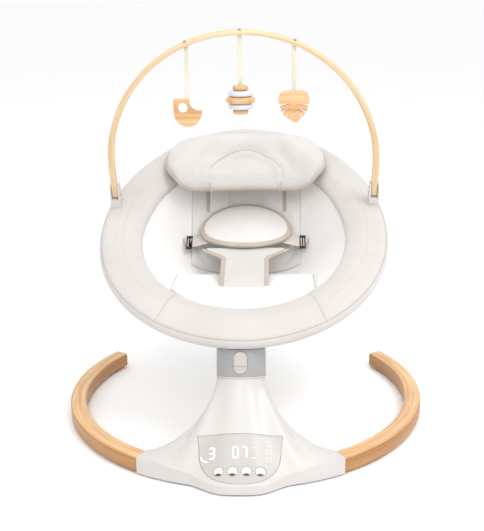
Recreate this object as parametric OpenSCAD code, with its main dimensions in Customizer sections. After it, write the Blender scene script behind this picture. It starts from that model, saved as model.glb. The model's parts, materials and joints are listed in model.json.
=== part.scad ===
// Electric baby swing: wooden floor ring, leaning column, padded oval seat, toy bar.
// Millimetres. +Z up, front is -Y, origin on the floor under the middle of the object.

/* [Floor ring] */
// Outer diameter of the wooden floor ring
ring_d = 600; // [540:5:720]
// Width of a leg, seen from above
leg_w = 27; // [22:1:34]
// Height of a leg
leg_h = 25; // [20:1:30]
// Rounding of a leg's edges
leg_round = 4; // [2:0.5:8]
// Angle from the front at which a leg leaves the housing
leg_start = 31; // [28:1:38]
// Angle from the front at which a leg ends
leg_end = 123; // [100:1:150]
// Height of the rubber feet
foot_h = 3; // [2:0.5:6]

/* [Base housing] */
// Wall of the plastic shells
wall = 3; // [2:0.5:4]
// How far the nose stands proud of the floor ring
nose_out = 20; // [10:1:30]
// Height of the upright skirt at the nose
nose_h = 15; // [10:1:22]
// Distance from the ring's outer edge to the column, at its lower seam
column_inset = 130; // [110:1:150]
// Height of the column's lower seam above the floor
seam_h = 120; // [100:1:150]
// Angle by which the column leans back
lean = 18; // [10:1:25]

/* [Control panel] */
// Width of the control panel
panel_w = 126; // [110:1:140]
// Height of the control panel along its slope
panel_h = 76; // [68:1:84]
// Diameter of a control button
button_d = 15; // [11:0.5:17]
// Distance between neighbouring buttons
button_pitch = 20.2; // [18:0.2:22]
// Travel of a control button
button_travel = 1.2; // [0.6:0.1:1.6]

/* [Column] */
// Outer diameter of the collar
collar_d = 76; // [68:1:90]
// Height of the collar along its axis
collar_h = 44; // [40:1:60]
// Diameter of the swing shaft
shaft_d = 14; // [10:1:16]
// Width of the latch button
latch_w = 20; // [14:1:24]
// Height of the latch button
latch_h = 33; // [26:1:34]
// Travel of the latch button
latch_travel = 3; // [2:0.5:4]

/* [Seat] */
// Width of the padded rim
seat_w = 486; // [400:2:590]
// Length of the padded rim along its slope
seat_l = 568; // [470:2:690]
// Tilt of the seat from the horizontal
seat_tilt = 25; // [15:1:35]
// How much narrower the rim is towards the head end, as a share
seat_taper = 0.077; // [0:0.001:0.12]
// Diameter of the seat's tube
tube_d = 22; // [16:1:26]
// Thickness of the padded cloth over the tube
cover_t = 2; // [1:0.5:3]
// Width of the padded band, inwards from the tube
band_w = 58; // [45:1:66]
// Extra width of the band at the front
band_front = 12; // [0:1:20]
// Depth of the hammock below the rim
bowl_h = 145; // [120:1:160]
// Place of the seat's crease, measured up the slope from the middle
crease_s = 28; // [0:1:50]

/* [Toy bar] */
// Height of the toy bar above its pivots, measured in its own plane
bar_rise = 292; // [250:2:360]
// Length of the bar's straight part above its pivots
bar_straight = 48; // [30:1:100]
// Lean of the toy bar, forward from upright
bar_lean = 21; // [10:1:35]
// Thickness of the toy bar's strip at its feet
bar_t = 11; // [8:0.5:13]
// Thickness of the toy bar's strip at its top
bar_top_t = 6.5; // [5:0.5:10]
// Width of the toy bar's strip
bar_w = 11; // [9:0.5:16]
// Place of the toy bar's sockets, measured up the slope from the middle
bar_s = 46; // [0:1:90]
// Distance between neighbouring toys
toy_pitch = 84; // [60:1:110]

/* [Hidden] */

// Colours
wood = "#EBC894";
shell_white = "#F0EDE8";
velvet = "#ECE7E2";
piping = "#C9BEB2";
grey = "#AEB2B4";
dark = "#3A3A3A";
steel = "#C8CCD0";

// Clearances
gap = 0.3;
fit_gap = 0.05;
soft_gap = 1.2;

// Floor ring
ring_r = ring_d / 2;
leg_top = foot_h + leg_h;
leg_mid_r = ring_r - leg_w / 2;
leg_mid_z = foot_h + leg_h / 2;
tenon_inset = wall + 1;
tenon_angle = 8;
foot_d = 16;
foot_angles = [leg_start + 30, leg_end - 6];
screw_d = 4;
screw_head_d = 8;
screw_angles = [leg_start - 6.4, leg_start - 2.8];

// Housing. Angles a are measured around the ring's middle from the front.
arm_proud = 1;
end_wall = 0.6;
nose_half_angle = 15;
back_half_angle = 22;
front_steps = 38;
back_steps = 24;
height_steps = 14;
column_r = collar_d / 2;
seam_y = -(ring_r - column_inset);
back_reach = column_inset + column_r + 2;
panel_t = 2.2;
cover_plate_t = 2.5;
cover_top = foot_h + cover_plate_t;

// Seat plane: s runs up the slope from the rim's middle, d is the depth below it.
rim_r = tube_d / 2 + cover_t;
tube_a = seat_w / 2 - rim_r;
tube_b = seat_l / 2 - rim_r;
hub_top = collar_h + rim_r + 1.5;
seat_front = on_axis_point([0, -column_r - 2, hub_top]);
seat_y = seat_front[1] + tube_b * cos(seat_tilt);
seat_z = seat_front[2] + tube_b * sin(seat_tilt);
rim_steps = 60;
edge_d = 15;
liner_t = 3;
cushion_t = 20;
panel_pad_t = 12;
pad_w = 45;

// Toy bar
socket_h = 28;
bar_foot = seat_point(tube_x(bar_s), bar_s, 0);
bar_x = tube_x(bar_s);
pivot_h = 36;
socket_floor = pivot_h - 10;
bar_steps = 44;
ribbon_ls = [76, 75, 66];
ribbon_w = 7;

// Middle of the whole object's footprint, measured from the ring's middle
seat_back_y = seat_y + tube_b * cos(seat_tilt) + rim_r;
ring_y = (ring_r + nose_out - seat_back_y) / 2;

// ---------- small tools ----------

function lerp(a, b, t) = a + (b - a) * t;
function unit(v) = v / norm(v);
function smooth(t) = let (k = max(0, min(1, t))) k * k * (3 - 2 * k);
function flat(lists) = [for (l = lists) each l];

// Places things whose numbers are measured from the ring's middle
module from_ring() {
    translate([0, ring_y, 0]) children();
}

// Frame on the column's axis: origin at the lower seam, z up the axis
module on_axis() {
    translate([0, seam_y, seam_h]) rotate([-lean, 0, 0]) children();
}

function on_axis_point(p) = [
    p[0],
    seam_y + p[1] * cos(lean) + p[2] * sin(lean),
    seam_h - p[1] * sin(lean) + p[2] * cos(lean)
];

// Frame on the control panel: origin on its middle, y up the slope, z outwards
module on_panel() {
    translate([0, panel_mid[1], panel_mid[2]]) rotate([panel_slope, 0, 0]) children();
}

// Point of the seat's plane: x across, s up the slope, d below the plane
function seat_point(x, s, d) = [
    x,
    seat_y + s * cos(seat_tilt) + d * sin(seat_tilt),
    seat_z + s * sin(seat_tilt) - d * cos(seat_tilt)
];

seat_up = [0, -sin(seat_tilt), cos(seat_tilt)];

// Solid between a stack of rings of points, each seen counter-clockwise from its end
module loft(rings, closed = false) {
    n = len(rings[0]);
    m = len(rings);
    last = closed ? m - 1 : m - 2;
    sides = [
        for (i = [0 : last], j = [0 : n - 1])
            let (
                a = i * n + j,
                b = i * n + (j + 1) % n,
                c = ((i + 1) % m) * n + (j + 1) % n,
                d = ((i + 1) % m) * n + j
            )
            each [[a, d, c], [a, c, b]]
    ];
    caps = closed ? [] : [[for (j = [0 : n - 1]) j], [for (j = [n - 1 : -1 : 0]) (m - 1) * n + j]];
    polyhedron(points = flat(rings), faces = concat(sides, caps), convexity = 8);
}

function path_step(path, i, closed) =
    let (m = len(path))
    closed ? path[(i + 1) % m] - path[(i + m - 1) % m]
           : path[min(i + 1, m - 1)] - path[max(i - 1, 0)];

// Rings of a profile carried along a path; the profile's y points along up
function carried(path, profile, up, closed = false) = [
    for (i = [0 : len(path) - 1])
        let (
            t = unit(path_step(path, i, closed)),
            u = unit(cross(up, t)),
            v = cross(t, u)
        )
        [for (p = profile) path[i] + u * p[0] + v * p[1]]
];

module sweep(path, profile, up, closed = false) {
    loft(carried(path, profile, up, closed), closed);
}

function circle_points(r, n) = [for (i = [0 : n - 1]) [r * cos(i * 360 / n), r * sin(i * 360 / n)]];

function oblong_points(w, h, round, n = 3) = [
    for (q = [0 : 3], i = [0 : n])
        let (
            a = q * 90 + i * 90 / n,
            cx = (q == 0 || q == 3 ? 1 : -1) * (w / 2 - round),
            cy = (q < 2 ? 1 : -1) * (h / 2 - round)
        )
        [cx + round * cos(a), cy + round * sin(a)]
];

// Solid between two grids of points with the same rows of n points; bottom is seen from
// below with its rows running the same way as in top
module slab(bottom, top, n) {
    count = len(bottom);
    m = count / n;
    cells = [
        for (j = [0 : m - 2], i = [0 : n - 2])
            let (a = j * n + i, b = a + 1, c = a + n + 1, d = a + n)
            each [
                [a, b, c], [a, c, d],
                [a + count, c + count, b + count], [a + count, d + count, c + count]
            ]
    ];
    border = concat(
        [for (i = [0 : n - 2]) i],
        [for (j = [0 : m - 2]) j * n + n - 1],
        [for (i = [n - 1 : -1 : 1]) (m - 1) * n + i],
        [for (j = [m - 1 : -1 : 1]) j * n]
    );
    k = len(border);
    edge = [
        for (i = [0 : k - 1])
            let (a = border[i], b = border[(i + 1) % k])
            each [[a, a + count, b + count], [a, b + count, b]]
    ];
    polyhedron(points = concat(bottom, top), faces = concat(cells, edge), convexity = 6);
}

// Soft layer over the hammock: place(u, v) gives [x, s], under(x, s) the depth of its
// lower face and thick(u, v) its thickness; u and v run from -1 to 1.
module soft_layer(place, under, thick, nu = 16, nv = 16) {
    cells = [for (j = [0 : nv], i = [0 : nu]) [lerp(-1, 1, i / nu), lerp(-1, 1, j / nv)]];
    bottom = [
        for (c = cells)
            let (p = place(c[0], c[1]))
            seat_point(p[0], p[1], under(p[0], p[1]))
    ];
    top = [
        for (c = cells)
            let (p = place(c[0], c[1]))
            seat_point(p[0], p[1], under(p[0], p[1]) - thick(c[0], c[1]))
    ];
    slab(bottom, top, nu + 1);
}

// Square to disc: both from -1 to 1
function disc_x(u, v) = u * sqrt(1 - v * v / 2);
function disc_y(u, v) = v * sqrt(1 - u * u / 2);

// Crowned thickness, t in the middle and thin at the border
function crown(u, v, t, thin = 2) =
    let (r = min(1, pow(max(abs(u), abs(v)), 4)))
    thin + (t - thin) * sqrt(1 - r);

// ---------- floor ring ----------

module leg_section(inset) {
    w = leg_w - 2 * inset;
    h = leg_h - 2 * inset;
    r = min(leg_round, w / 4);
    translate([leg_mid_r, leg_mid_z]) {
        square([w - 2 * r, h], center = true);
        square([w, h - 2 * r], center = true);
        for (x = [-1, 1], z = [-1, 1])
            translate([x * (w / 2 - r), z * (h / 2 - r)]) circle(r = r, $fn = 32);
    }
}

// Turns around the ring's middle; a is measured from the front towards +X
module at_ring(a, r) {
    rotate([0, 0, a - 90]) translate([r, 0, 0]) children();
}

module leg() {
    color(wood) difference() {
        union() {
            rotate([0, 0, leg_start + 0.1 - 90])
                rotate_extrude(angle = leg_end - leg_start - 0.1, $fn = 96) leg_section(0);
            rotate([0, 0, leg_start - tenon_angle - 90])
                rotate_extrude(angle = tenon_angle + 1, $fn = 96) leg_section(tenon_inset);
        }
        for (a = screw_angles) at_ring(a, leg_mid_r)
            translate([0, 0, -1]) cylinder(d = screw_d, h = leg_mid_z + 5, $fn = 32);
    }
}

module right_leg() {
    from_ring() leg();
}

module left_leg() {
    from_ring() mirror([1, 0, 0]) leg();
}

module leg_feet() {
    color(dark) from_ring()
        for (side = [-1, 1], a = foot_angles)
            at_ring(side * a, leg_mid_r) cylinder(d = foot_d, h = foot_h, $fn = 48);
}

module leg_screws() {
    color(steel) from_ring()
        for (side = [-1, 1], a = screw_angles)
            at_ring(side * a, leg_mid_r) {
                translate([0, 0, foot_h - 0.5])
                    cylinder(d = screw_head_d, h = 2, $fn = 32);
                translate([0, 0, foot_h + 1.5])
                    cylinder(d = screw_d - 2 * fit_gap, h = leg_mid_z - foot_h + 2, $fn = 32);
            }
}

// ---------- base housing ----------

// 1 in the middle and 0 beyond the half angle, with a flat top as wide as level
function bump(a, half, level) = 1 - smooth((abs(a) - level) / (half - level));
function outer_r(a) = ring_r + arm_proud + (nose_out - arm_proud) * bump(a, nose_half_angle, 4);
function inner_r(a) =
    ring_r - leg_w - arm_proud - (back_reach - leg_w - arm_proud) * bump(a, back_half_angle, 5);
function ring_xy(a, r) = [r * sin(a), -r * cos(a)];

// Points of the housing's outline on the floor. Each is [place, angle around the column of
// the point that it rises to, angle a, 1 on the front and 0 on the back].
function outline(inset, end) = concat(
    [for (i = [0 : front_steps])
        let (t = lerp(-1, 1, i / front_steps), a = end * t)
        [ring_xy(a, outer_r(a) - inset), 82 * sign(t) * pow(abs(t), 0.7), a, 1]],
    [for (i = [0 : back_steps])
        let (t = i / back_steps, a = lerp(end, -end, t))
        [ring_xy(a, inner_r(a) + inset), lerp(98, 262, t), a, 0]]
);

// Bend of the flank that rises from an outline point to the column: 1 is a straight slope,
// 2 a quarter circle. The front is nearly straight.
function flank(a, front) =
    front == 1 ? 1.7 - 0.55 * bump(a, 30, 16) - 0.1 * smooth(1 - abs(abs(a) - 17) / 9)
               : 1.7 + 0.1 * bump(a, back_half_angle, 5);

// On the arms the skin goes back only as it rises
function set_back(a) = 0.9 * smooth((abs(a) - 18) / 10);

function housing_ring(t, inset, end) =
    let (phi = 90 * t)
    [for (o = outline(inset, end))
        let (
            skirt_top = lerp(leg_top + arm_proud, nose_h + 1, o[3] * bump(o[2], 26, 6)) - inset,
            foot = [o[0][0], o[0][1], skirt_top],
            r = column_r - inset,
            top = on_axis_point([r * sin(o[1]), -r * cos(o[1]), 0]),
            p = flank(o[2], o[3]),
            across = pow(sin(phi), 2 / p),
            up = 1 - pow(cos(phi), 2 / p)
        )
        [
            lerp(foot[0], top[0], across),
            lerp(foot[1], top[1], lerp(across, up, set_back(o[2]))),
            lerp(foot[2], top[2], up)
        ]];

// Rings of one skin of the housing, from the floor to the column
function housing_skin(inset, end) = concat(
    [[for (o = outline(inset, end)) [o[0][0], o[0][1], foot_h]]],
    [for (i = [0 : height_steps]) housing_ring(i / height_steps, inset, end)]
);

function backwards(list) = [for (i = [len(list) - 1 : -1 : 0]) list[i]];

// Outer skin, inner skin and the wall between them
module housing_shell() {
    loft(concat(housing_skin(0, leg_start), backwards(housing_skin(wall, leg_start - end_wall))), true);
}

// The panel's frame touches the front of the skin near the panel's lower and upper edge
front_mid = front_steps / 2;
panel_low = housing_ring(0.1, 0, leg_start)[front_mid];
panel_high = housing_ring(0.56, 0, leg_start)[front_mid];
panel_slope = atan((panel_high[2] - panel_low[2]) / (panel_high[1] - panel_low[1]));
panel_mid = panel_low + panel_h / 2 * unit(panel_high - panel_low);

function to_panel(p) =
    let (q = p - panel_mid)
    [
        q[0],
        q[1] * cos(panel_slope) + q[2] * sin(panel_slope),
        -q[1] * sin(panel_slope) + q[2] * cos(panel_slope)
    ];

// Rows of points of the skin's front, in the panel's frame
skin_rows = [
    for (t = [0 : 1 / 16 : 1])
        let (points = housing_ring(t, 0, leg_start))
        [for (i = [0 : front_steps]) to_panel(points[i])]
];

// Height of the skin above the panel's frame
function skin_z(x, y) =
    let (
        column = [
            for (row = skin_rows)
                [lookup(x, [for (p = row) [p[0], p[1]]]), lookup(x, [for (p = row) [p[0], p[2]]])]
        ]
    )
    lookup(y, column);

// Half width of the control panel at height y: straight sides over a round bottom
panel_side_h = 22;

function panel_half(y) =
    let (
        below = panel_h / 2 - panel_side_h - y,
        t = min(1, max(0, below / (panel_h - panel_side_h)))
    )
    (panel_w / 2 - 3 * min(1, (panel_h / 2 - y) / panel_side_h)) * pow(1 - pow(t, 2.4), 1 / 2.4);

// Plate with the panel's outline that follows the skin, from below it to above it
module skin_plate(grow, below, above) {
    nu = 16;
    nv = 14;
    grid = [
        for (j = [0 : nv], i = [0 : nu])
            let (
                y = lerp(-panel_h / 2, panel_h / 2, pow(j / nv, 1.7)),
                x = (2 * i / nu - 1) * (max(panel_half(y), 10) + grow),
                y2 = y * (1 + 2 * grow / panel_h)
            )
            [x, y2, skin_z(x, y2)]
    ];
    slab([for (p = grid) p - [0, 0, below]], [for (p = grid) p + [0, 0, above]], nu + 1);
}

// Frame of a control button: origin on the skin
button_y = button_d + 4 - panel_h / 2;

module on_button(i) {
    x = (i - 1.5) * button_pitch;
    from_ring() on_panel() translate([x, button_y, skin_z(x, button_y)]) children();
}

module button_holes(d) {
    for (i = [0 : 3]) on_button(i) translate([0, 0, -15]) cylinder(d = d, h = 30, $fn = 40);
}

module base_housing() {
    color(shell_white) difference() {
        from_ring() housing_shell();
        from_ring() for (side = [-1, 1]) rotate([0, 0, side * (leg_start - end_wall / 2) - 90])
            rotate_extrude(angle = 3 * end_wall, start = -1.5 * end_wall, $fn = 96)
                leg_section(tenon_inset - gap);
        from_ring() on_panel() skin_plate(gap, 14, 6);
        from_ring() inlet_place() cylinder(d = inlet_d + 2 * gap, h = 30, center = true, $fn = 40);
    }
}

module base_cover() {
    color(shell_white) difference() {
        from_ring() union() {
            translate([0, 0, foot_h])
                linear_extrude(cover_plate_t)
                    polygon([for (o = outline(wall + gap, leg_start - end_wall - 0.1)) o[0]]);
            for (p = post_places) translate([p[0], p[1], foot_h])
                cylinder(d = 9, h = 12, $fn = 40);
            intersection() {
                on_axis() translate([-10, magnet_r - 8, coil_z - 40]) cube([20, 16, 37.2]);
                translate([-50, -400, foot_h + 1]) cube([100, 400, 80]);
            }
        }
        from_ring() {
            for (side = [-1, 1], a = screw_angles) at_ring(side * a, leg_mid_r) {
                translate([0, 0, -1]) cylinder(d = screw_d + 0.4, h = 20, $fn = 32);
                translate([0, 0, foot_h - 1]) cylinder(d = screw_head_d + 0.6, h = 2.6, $fn = 32);
            }
            for (p = post_places) translate([p[0], p[1], 0]) {
                cylinder(d = 3 + 2 * fit_gap, h = 13, $fn = 32);
                cylinder(d = 6.6, h = foot_h + 2.1, $fn = 32);
            }
            for (i = [-2 : 2]) translate([speaker_x + i * 5, speaker_y, 0])
                translate([-1, -9, 0]) cube([2, 18, 20]);
        }
    }
}

post_places = [[-40, -(ring_r - 28)], [40, -(ring_r - 28)], [-24, seam_y - 5], [24, seam_y - 5]];
speaker_d = 36;
speaker_x = 70;
speaker_y = -(ring_r - 33);
magnet_r = 32;
magnet_z = -82;
coil_z = magnet_z - 5;
inlet_d = 11;
foot_places = [[0, -(ring_r - 2)], [-66, -(ring_r - 48)], [66, -(ring_r - 25)], [0, -(ring_r - back_reach + 14)]];

module cover_screws() {
    color(steel) from_ring()
        for (p = post_places) translate([p[0], p[1], foot_h]) {
            cylinder(d = 6, h = 2, $fn = 32);
            translate([0, 0, 1.5]) cylinder(d = 3, h = 8, $fn = 32);
        }
}

module base_feet() {
    color(dark) from_ring()
        for (p = foot_places) translate([p[0], p[1], 0]) cylinder(d = foot_d, h = foot_h, $fn = 48);
}

module control_panel() {
    color(shell_white) difference() {
        from_ring() on_panel() skin_plate(0, panel_t, 0);
        button_holes(button_d + 2 * gap);
    }
}

// Seven-segment figure of height h: segments are named by their place
module figure(segments, h, w, bar) {
    places = [
        [w / 2, h, 0], [w, h * 0.75, 90], [w, h * 0.25, 90], [w / 2, 0, 0],
        [0, h * 0.25, 90], [0, h * 0.75, 90], [w / 2, h / 2, 0]
    ];
    for (i = segments) {
        p = places[i];
        run = p[2] == 0 ? w - bar * 1.4 : h / 2 - bar * 1.4;
        translate([p[0], p[1]]) rotate(p[2]) square([run, bar], center = true);
    }
}

// Frame that touches the skin at a point of the panel
module on_skin(x, y) {
    step = 3;
    rise_x = (skin_z(x + step, y) - skin_z(x - step, y)) / (2 * step);
    rise_y = (skin_z(x, y + step) - skin_z(x, y - step)) / (2 * step);
    from_ring() on_panel() translate([x, y, skin_z(x, y)])
        rotate([atan(rise_y), -atan(rise_x), 0]) children();
}

figure_w = 7.5;
figure_h = 16;
figure_bar = 1.7;
figures = [
    [-41, 10, [0, 1, 2, 3, 6]],
    [-6, 10, [0, 1, 2, 3, 4, 5]],
    [6.5, 10, [0, 1, 2]]
];
film = 0.4;

module display_digits() {
    color("white")
        for (f = figures) on_skin(f[0], f[1]) translate([0, 0, 1.5 * film])
            linear_extrude(film) translate([-figure_w / 2, -figure_h / 2])
                figure(f[2], figure_h, figure_w, figure_bar);
}

module display_symbols() {
    color("white") {
        on_skin(-50, 3) translate([0, 0, 3 * film]) linear_extrude(film) difference() {
            circle(r = 6, $fn = 40);
            translate([2.5, 2]) circle(r = 6, $fn = 40);
        }
        for (i = [0 : 2]) on_skin(43, 25 - i * 12) translate([0, 0, 2 * film])
            linear_extrude(film) difference() {
                circle(r = 4.2, $fn = 32);
                circle(r = 3.1, $fn = 32);
            }
    }
}

module control_button(i) {
    color(shell_white) on_button(i) {
        translate([0, 0, -5]) cylinder(d = button_d, h = 5 + button_face, $fn = 48);
        translate([0, 0, -6.2]) cylinder(d = 5, h = 2, $fn = 32);
    }
}

button_face = 0.6;

module power_button() {
    control_button(0);
}

module speed_button() {
    control_button(1);
}

module timer_button() {
    control_button(2);
}

module sound_button() {
    control_button(3);
}

board_z = skin_z(1.5 * button_pitch, button_y) - 6.2 - button_travel - 0.6;

board_w = panel_w * 0.66;
board_h = panel_h * 0.64;

module control_board() {
    color("#2E6B45") from_ring() on_panel() {
        translate([-board_w / 2, button_y - 7, board_z - 1.6]) cube([board_w, board_h, 1.6]);
        translate([-board_w / 2 + 6, button_y + 16, board_z - 0.1]) cube([board_w - 12, board_h - 30, 2]);
        for (x = [-0.3, 0.3]) translate([x * board_w, button_y + 10, board_z - 5])
            cylinder(d = 8, h = 4, $fn = 32);
    }
}

module speaker() {
    color(dark) from_ring() translate([speaker_x, speaker_y, cover_top + 0.1]) {
        difference() {
            cylinder(d = speaker_d, h = 3, $fn = 64);
            translate([0, 0, -1]) cylinder(d = speaker_d - 6, h = 2.5, $fn = 64);
        }
        translate([0, 0, 2.9]) cylinder(d = 20, h = 7, $fn = 48);
    }
}

module inlet_place() {
    translate([0, -(ring_r - back_reach), foot_h + 10.5]) rotate([90, 0, 0]) children();
}

module power_inlet() {
    color(dark) from_ring() inlet_place() difference() {
        union() {
            translate([0, 0, -0.6]) cylinder(d = inlet_d, h = 17, $fn = 48);
            translate([0, 0, wall + 0.5]) cylinder(d = inlet_d + 4, h = 2, $fn = 48);
        }
        difference() {
            translate([0, 0, -1]) cylinder(d = 5.5, h = 12, $fn = 48);
            translate([0, 0, -2]) cylinder(d = 2, h = 14, $fn = 32);
        }
    }
}

// ---------- column and swing drive ----------

bearing_d = shaft_d + 14;
bearing_h = 9;
bearing_low = -64;
bearing_high = -21;

module bearing_housing() {
    color(grey) from_ring() on_axis() difference() {
        union() {
            translate([0, 0, bearing_low - 2])
                cylinder(d = bearing_d + 8, h = bearing_high - bearing_low + bearing_h + 4, $fn = 64);
            translate([0, 0, bearing_high + bearing_h - 2])
                cylinder(r = column_r - wall - 1, h = 4, $fn = 64);
        }
        translate([0, 0, bearing_low - 3]) cylinder(d = shaft_d + 6, h = 80, $fn = 64);
        translate([0, 0, bearing_low - 3])
            cylinder(d = bearing_d + 2 * fit_gap, h = bearing_h + 3, $fn = 64);
        translate([0, 0, bearing_high]) cylinder(d = bearing_d + 2 * fit_gap, h = 20, $fn = 64);
    }
}

module bearing(z) {
    color(steel) from_ring() on_axis() translate([0, 0, z + 0.2]) difference() {
        cylinder(d = bearing_d, h = bearing_h - 0.4, $fn = 64);
        translate([0, 0, -1]) cylinder(d = shaft_d + 2 * fit_gap, h = bearing_h + 2, $fn = 64);
    }
}

module lower_bearing() {
    bearing(bearing_low);
}

module upper_bearing() {
    bearing(bearing_high);
}

module swing_shaft() {
    color(steel) from_ring() on_axis()
        translate([0, 0, magnet_z - 1]) cylinder(d = shaft_d, h = 26 - magnet_z, $fn = 64);
}

module magnet_arm() {
    color(grey) from_ring() on_axis() difference() {
        union() {
            translate([0, 0, magnet_z + 1]) cylinder(d = shaft_d + 8, h = 8, $fn = 64);
            translate([-7, 0, magnet_z + 1]) cube([14, magnet_r, 4]);
            translate([0, magnet_r, magnet_z + 1]) cylinder(d = 14, h = 4, $fn = 48);
        }
        translate([0, 0, magnet_z - 1]) cylinder(d = shaft_d + 2 * fit_gap, h = 20, $fn = 64);
    }
}

module drive_magnet() {
    color(steel) from_ring() on_axis()
        translate([0, magnet_r, magnet_z - 2]) cylinder(d = 13, h = 2.9, $fn = 48);
}

module drive_coil() {
    color("#B87333") from_ring() on_axis() translate([0, magnet_r, coil_z - 2.9 + 0.2]) difference() {
        cylinder(d = 22, h = 4.4, $fn = 64);
        translate([0, 0, 2]) cylinder(d = 8, h = 6, $fn = 48);
    }
}

module collar_ring() {
    color(shell_white) from_ring() on_axis() translate([0, 0, 0.5]) difference() {
        cylinder(r = column_r + 0.3, h = 2.2, $fn = 96);
        translate([0, 0, -1]) cylinder(r = column_r - 6, h = 5, $fn = 96);
    }
}

collar_floor = 3;
plug_r = column_r - wall - gap;

module latch_outline(grow = 0) {
    w = latch_w + 2 * grow;
    h = latch_h + 2 * grow;
    for (z = [-1, 1]) translate([0, z * (h - w) / 2]) circle(d = w, $fn = 48);
    square([w, h - w], center = true);
}

// Frame on the latch button: x across, y up the axis, z outwards from the collar's front
module on_latch() {
    from_ring() on_axis() translate([0, -column_r, collar_floor + 5 + latch_h / 2])
        rotate([90, 0, 0]) children();
}

module collar_shell() {
    color(grey) difference() {
        from_ring() on_axis() difference() {
            translate([0, 0, collar_floor]) cylinder(r = column_r, h = collar_h - collar_floor, $fn = 96);
            translate([0, 0, collar_floor + 5]) cylinder(r = column_r - wall, h = collar_h, $fn = 96);
            translate([0, 0, -1]) cylinder(d = shaft_d + 2 * fit_gap, h = 20, $fn = 64);
        }
        on_latch() translate([0, 0, -20]) linear_extrude(40) latch_outline(gap);
    }
}

module latch_button() {
    color("#F4EFE6") difference() {
        on_latch() union() {
            translate([0, 0, -6]) linear_extrude(8.2) latch_outline();
            translate([0, -4, -9]) cylinder(d = 7, h = 4, $fn = 40);
        }
        on_latch() translate([-latch_w, -latch_h / 2 + 9, 3.4]) rotate([0, 90, 0])
            cylinder(d = 7, h = 2 * latch_w, $fn = 48);
    }
}

spring_r = 5.5;

module latch_spring() {
    turns = 4;
    path = [
        for (i = [0 : turns * 14])
            let (a = i * 360 / 14)
            [spring_r * cos(a), spring_r * sin(a), lerp(-20.5, -6.6 - latch_travel, i / (turns * 14))]
    ];
    color(steel) on_latch() translate([0, -4, 0]) sweep(path, circle_points(0.5, 6), [0, 0, 1]);
}

// ---------- seat frame ----------

function tube_point(a) = [
    tube_a * cos(a) * (1 - seat_taper * sin(a)),
    tube_b * sin(a)
];
function tube_x(s) = let (t = s / tube_b) tube_a * sqrt(1 - t * t) * (1 - seat_taper * t);
function rim_point(a) = let (p = tube_point(a)) seat_point(p[0], p[1], 0);
function rim_angle(i) = 360 * i / rim_steps;

module tube_solid(r, n) {
    sweep([for (i = [0 : rim_steps - 1]) rim_point(rim_angle(i))], circle_points(r, n), seat_up, true);
}

module seat_frame() {
    color(steel) from_ring() tube_solid(tube_d / 2, 14);
}

hub_half = 26;

module hub_block() {
    on_axis() translate([-hub_half, -column_r - 2, collar_h + 1])
        cube([2 * hub_half, column_r + 18, hub_top - collar_h - 1]);
}

module seat_hub() {
    color(grey) difference() {
        union() {
            from_ring() on_axis() translate([0, 0, collar_floor + 6])
                cylinder(r = plug_r, h = collar_h - collar_floor - 6 + 1, $fn = 96);
            from_ring() hub_block();
        }
        from_ring() tube_solid(tube_d / 2 + 0.1, 14);
        from_ring() on_axis() translate([0, 0, -1]) cylinder(d = shaft_d + 2 * fit_gap, h = 28, $fn = 64);
        on_latch() translate([0, 0, -22]) linear_extrude(40) latch_outline(1);
        from_ring() for (side = [-1, 1]) support_tube(side, 0.1);
    }
}

support_r = 8;

support_clear = 20;

// Runs back from the hub under the hammock and rises behind it to the rim's tube
function support_path(side) =
    let (
        end_s = tube_b * 0.88,
        end_x = tube_x(end_s),
        start_s = -tube_b + 22
    )
    [for (i = [0 : 22])
        let (
            t = i / 22,
            s = lerp(start_s, end_s, t),
            x = lerp(15, end_x, smooth(t) * 0.5 + 0.5 * t),
            near = smooth((t - 0.86) / 0.14),
            d = (bowl(x, s - 30) + bowl(x, s) + bowl(x, s + 30)) / 3 + liner_t + support_clear
        )
        seat_point(side * x, s, lerp(d, tube_d / 2 + support_r - 3, near))];

module support_tube(side, grow) {
    sweep(support_path(side), circle_points(support_r + grow, 12), [1, 0, 0]);
}

module seat_support() {
    color(steel) difference() {
        from_ring() for (side = [-1, 1]) support_tube(side, 0);
        from_ring() tube_solid(tube_d / 2 + 0.1, 14);
    }
}

// ---------- padded rim and hammock ----------

function band(a) = band_w + band_front * pow(max(0, -sin(a)), 2);

// Section of the padded rim: x runs inwards from the tube's middle, y up from the plane
function rim_profile(w) = [
    [-0.71 * rim_r, -0.71 * rim_r], [0, -rim_r], [0.75 * rim_r, -rim_r * 0.8],
    [w * 0.42, -7], [w * 0.72, -10], [w * 0.9, -12.5], [w, -9], [w * 1.01, -5],
    [w * 0.94, 1.5], [w * 0.78, 7], [w * 0.58, 11.5], [w * 0.38, 13.2],
    [w * 0.2, rim_r], [0, rim_r], [-0.71 * rim_r, 0.71 * rim_r], [-rim_r, 0]
];

module rim_solid() {
    rings = [
        for (i = [0 : rim_steps - 1])
            let (
                a = rim_angle(i),
                here = rim_point(a),
                t = unit(rim_point(a + 1) - rim_point(a - 1)),
                inward = cross(seat_up, t)
            )
            [for (p = rim_profile(band(a))) here + inward * p[0] + seat_up * p[1]]
    ];
    loft([for (r = rings) [for (j = [len(r) - 1 : -1 : 0]) r[j]]], true);
}

module rim_cover() {
    color(velvet) difference() {
        from_ring() rim_solid();
        from_ring() tube_solid(tube_d / 2 + gap, 14);
        from_ring() on_axis() translate([-hub_half - 1, -column_r - 3, collar_h - 5])
            cube([2 * hub_half + 2, 63, hub_top - collar_h + 7]);
        from_ring() for (side = [-1, 1]) {
            support_tube(side, 1);
            socket_place(side) translate([-bar_t / 2 - 3.5 - gap, -socket_h / 2 - gap, 0])
                cube([bar_t + 7 + 2 * gap, socket_h + 2 * gap, 60]);
        }
    }
}

// Opening inside of the rim, as half widths across and along
open_a = tube_a - band_w;
open_front = tube_b - band_w - band_front;
open_back = tube_b - band_w;
open_mid = (open_back - open_front) / 2;
open_b = (open_back + open_front) / 2;

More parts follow.
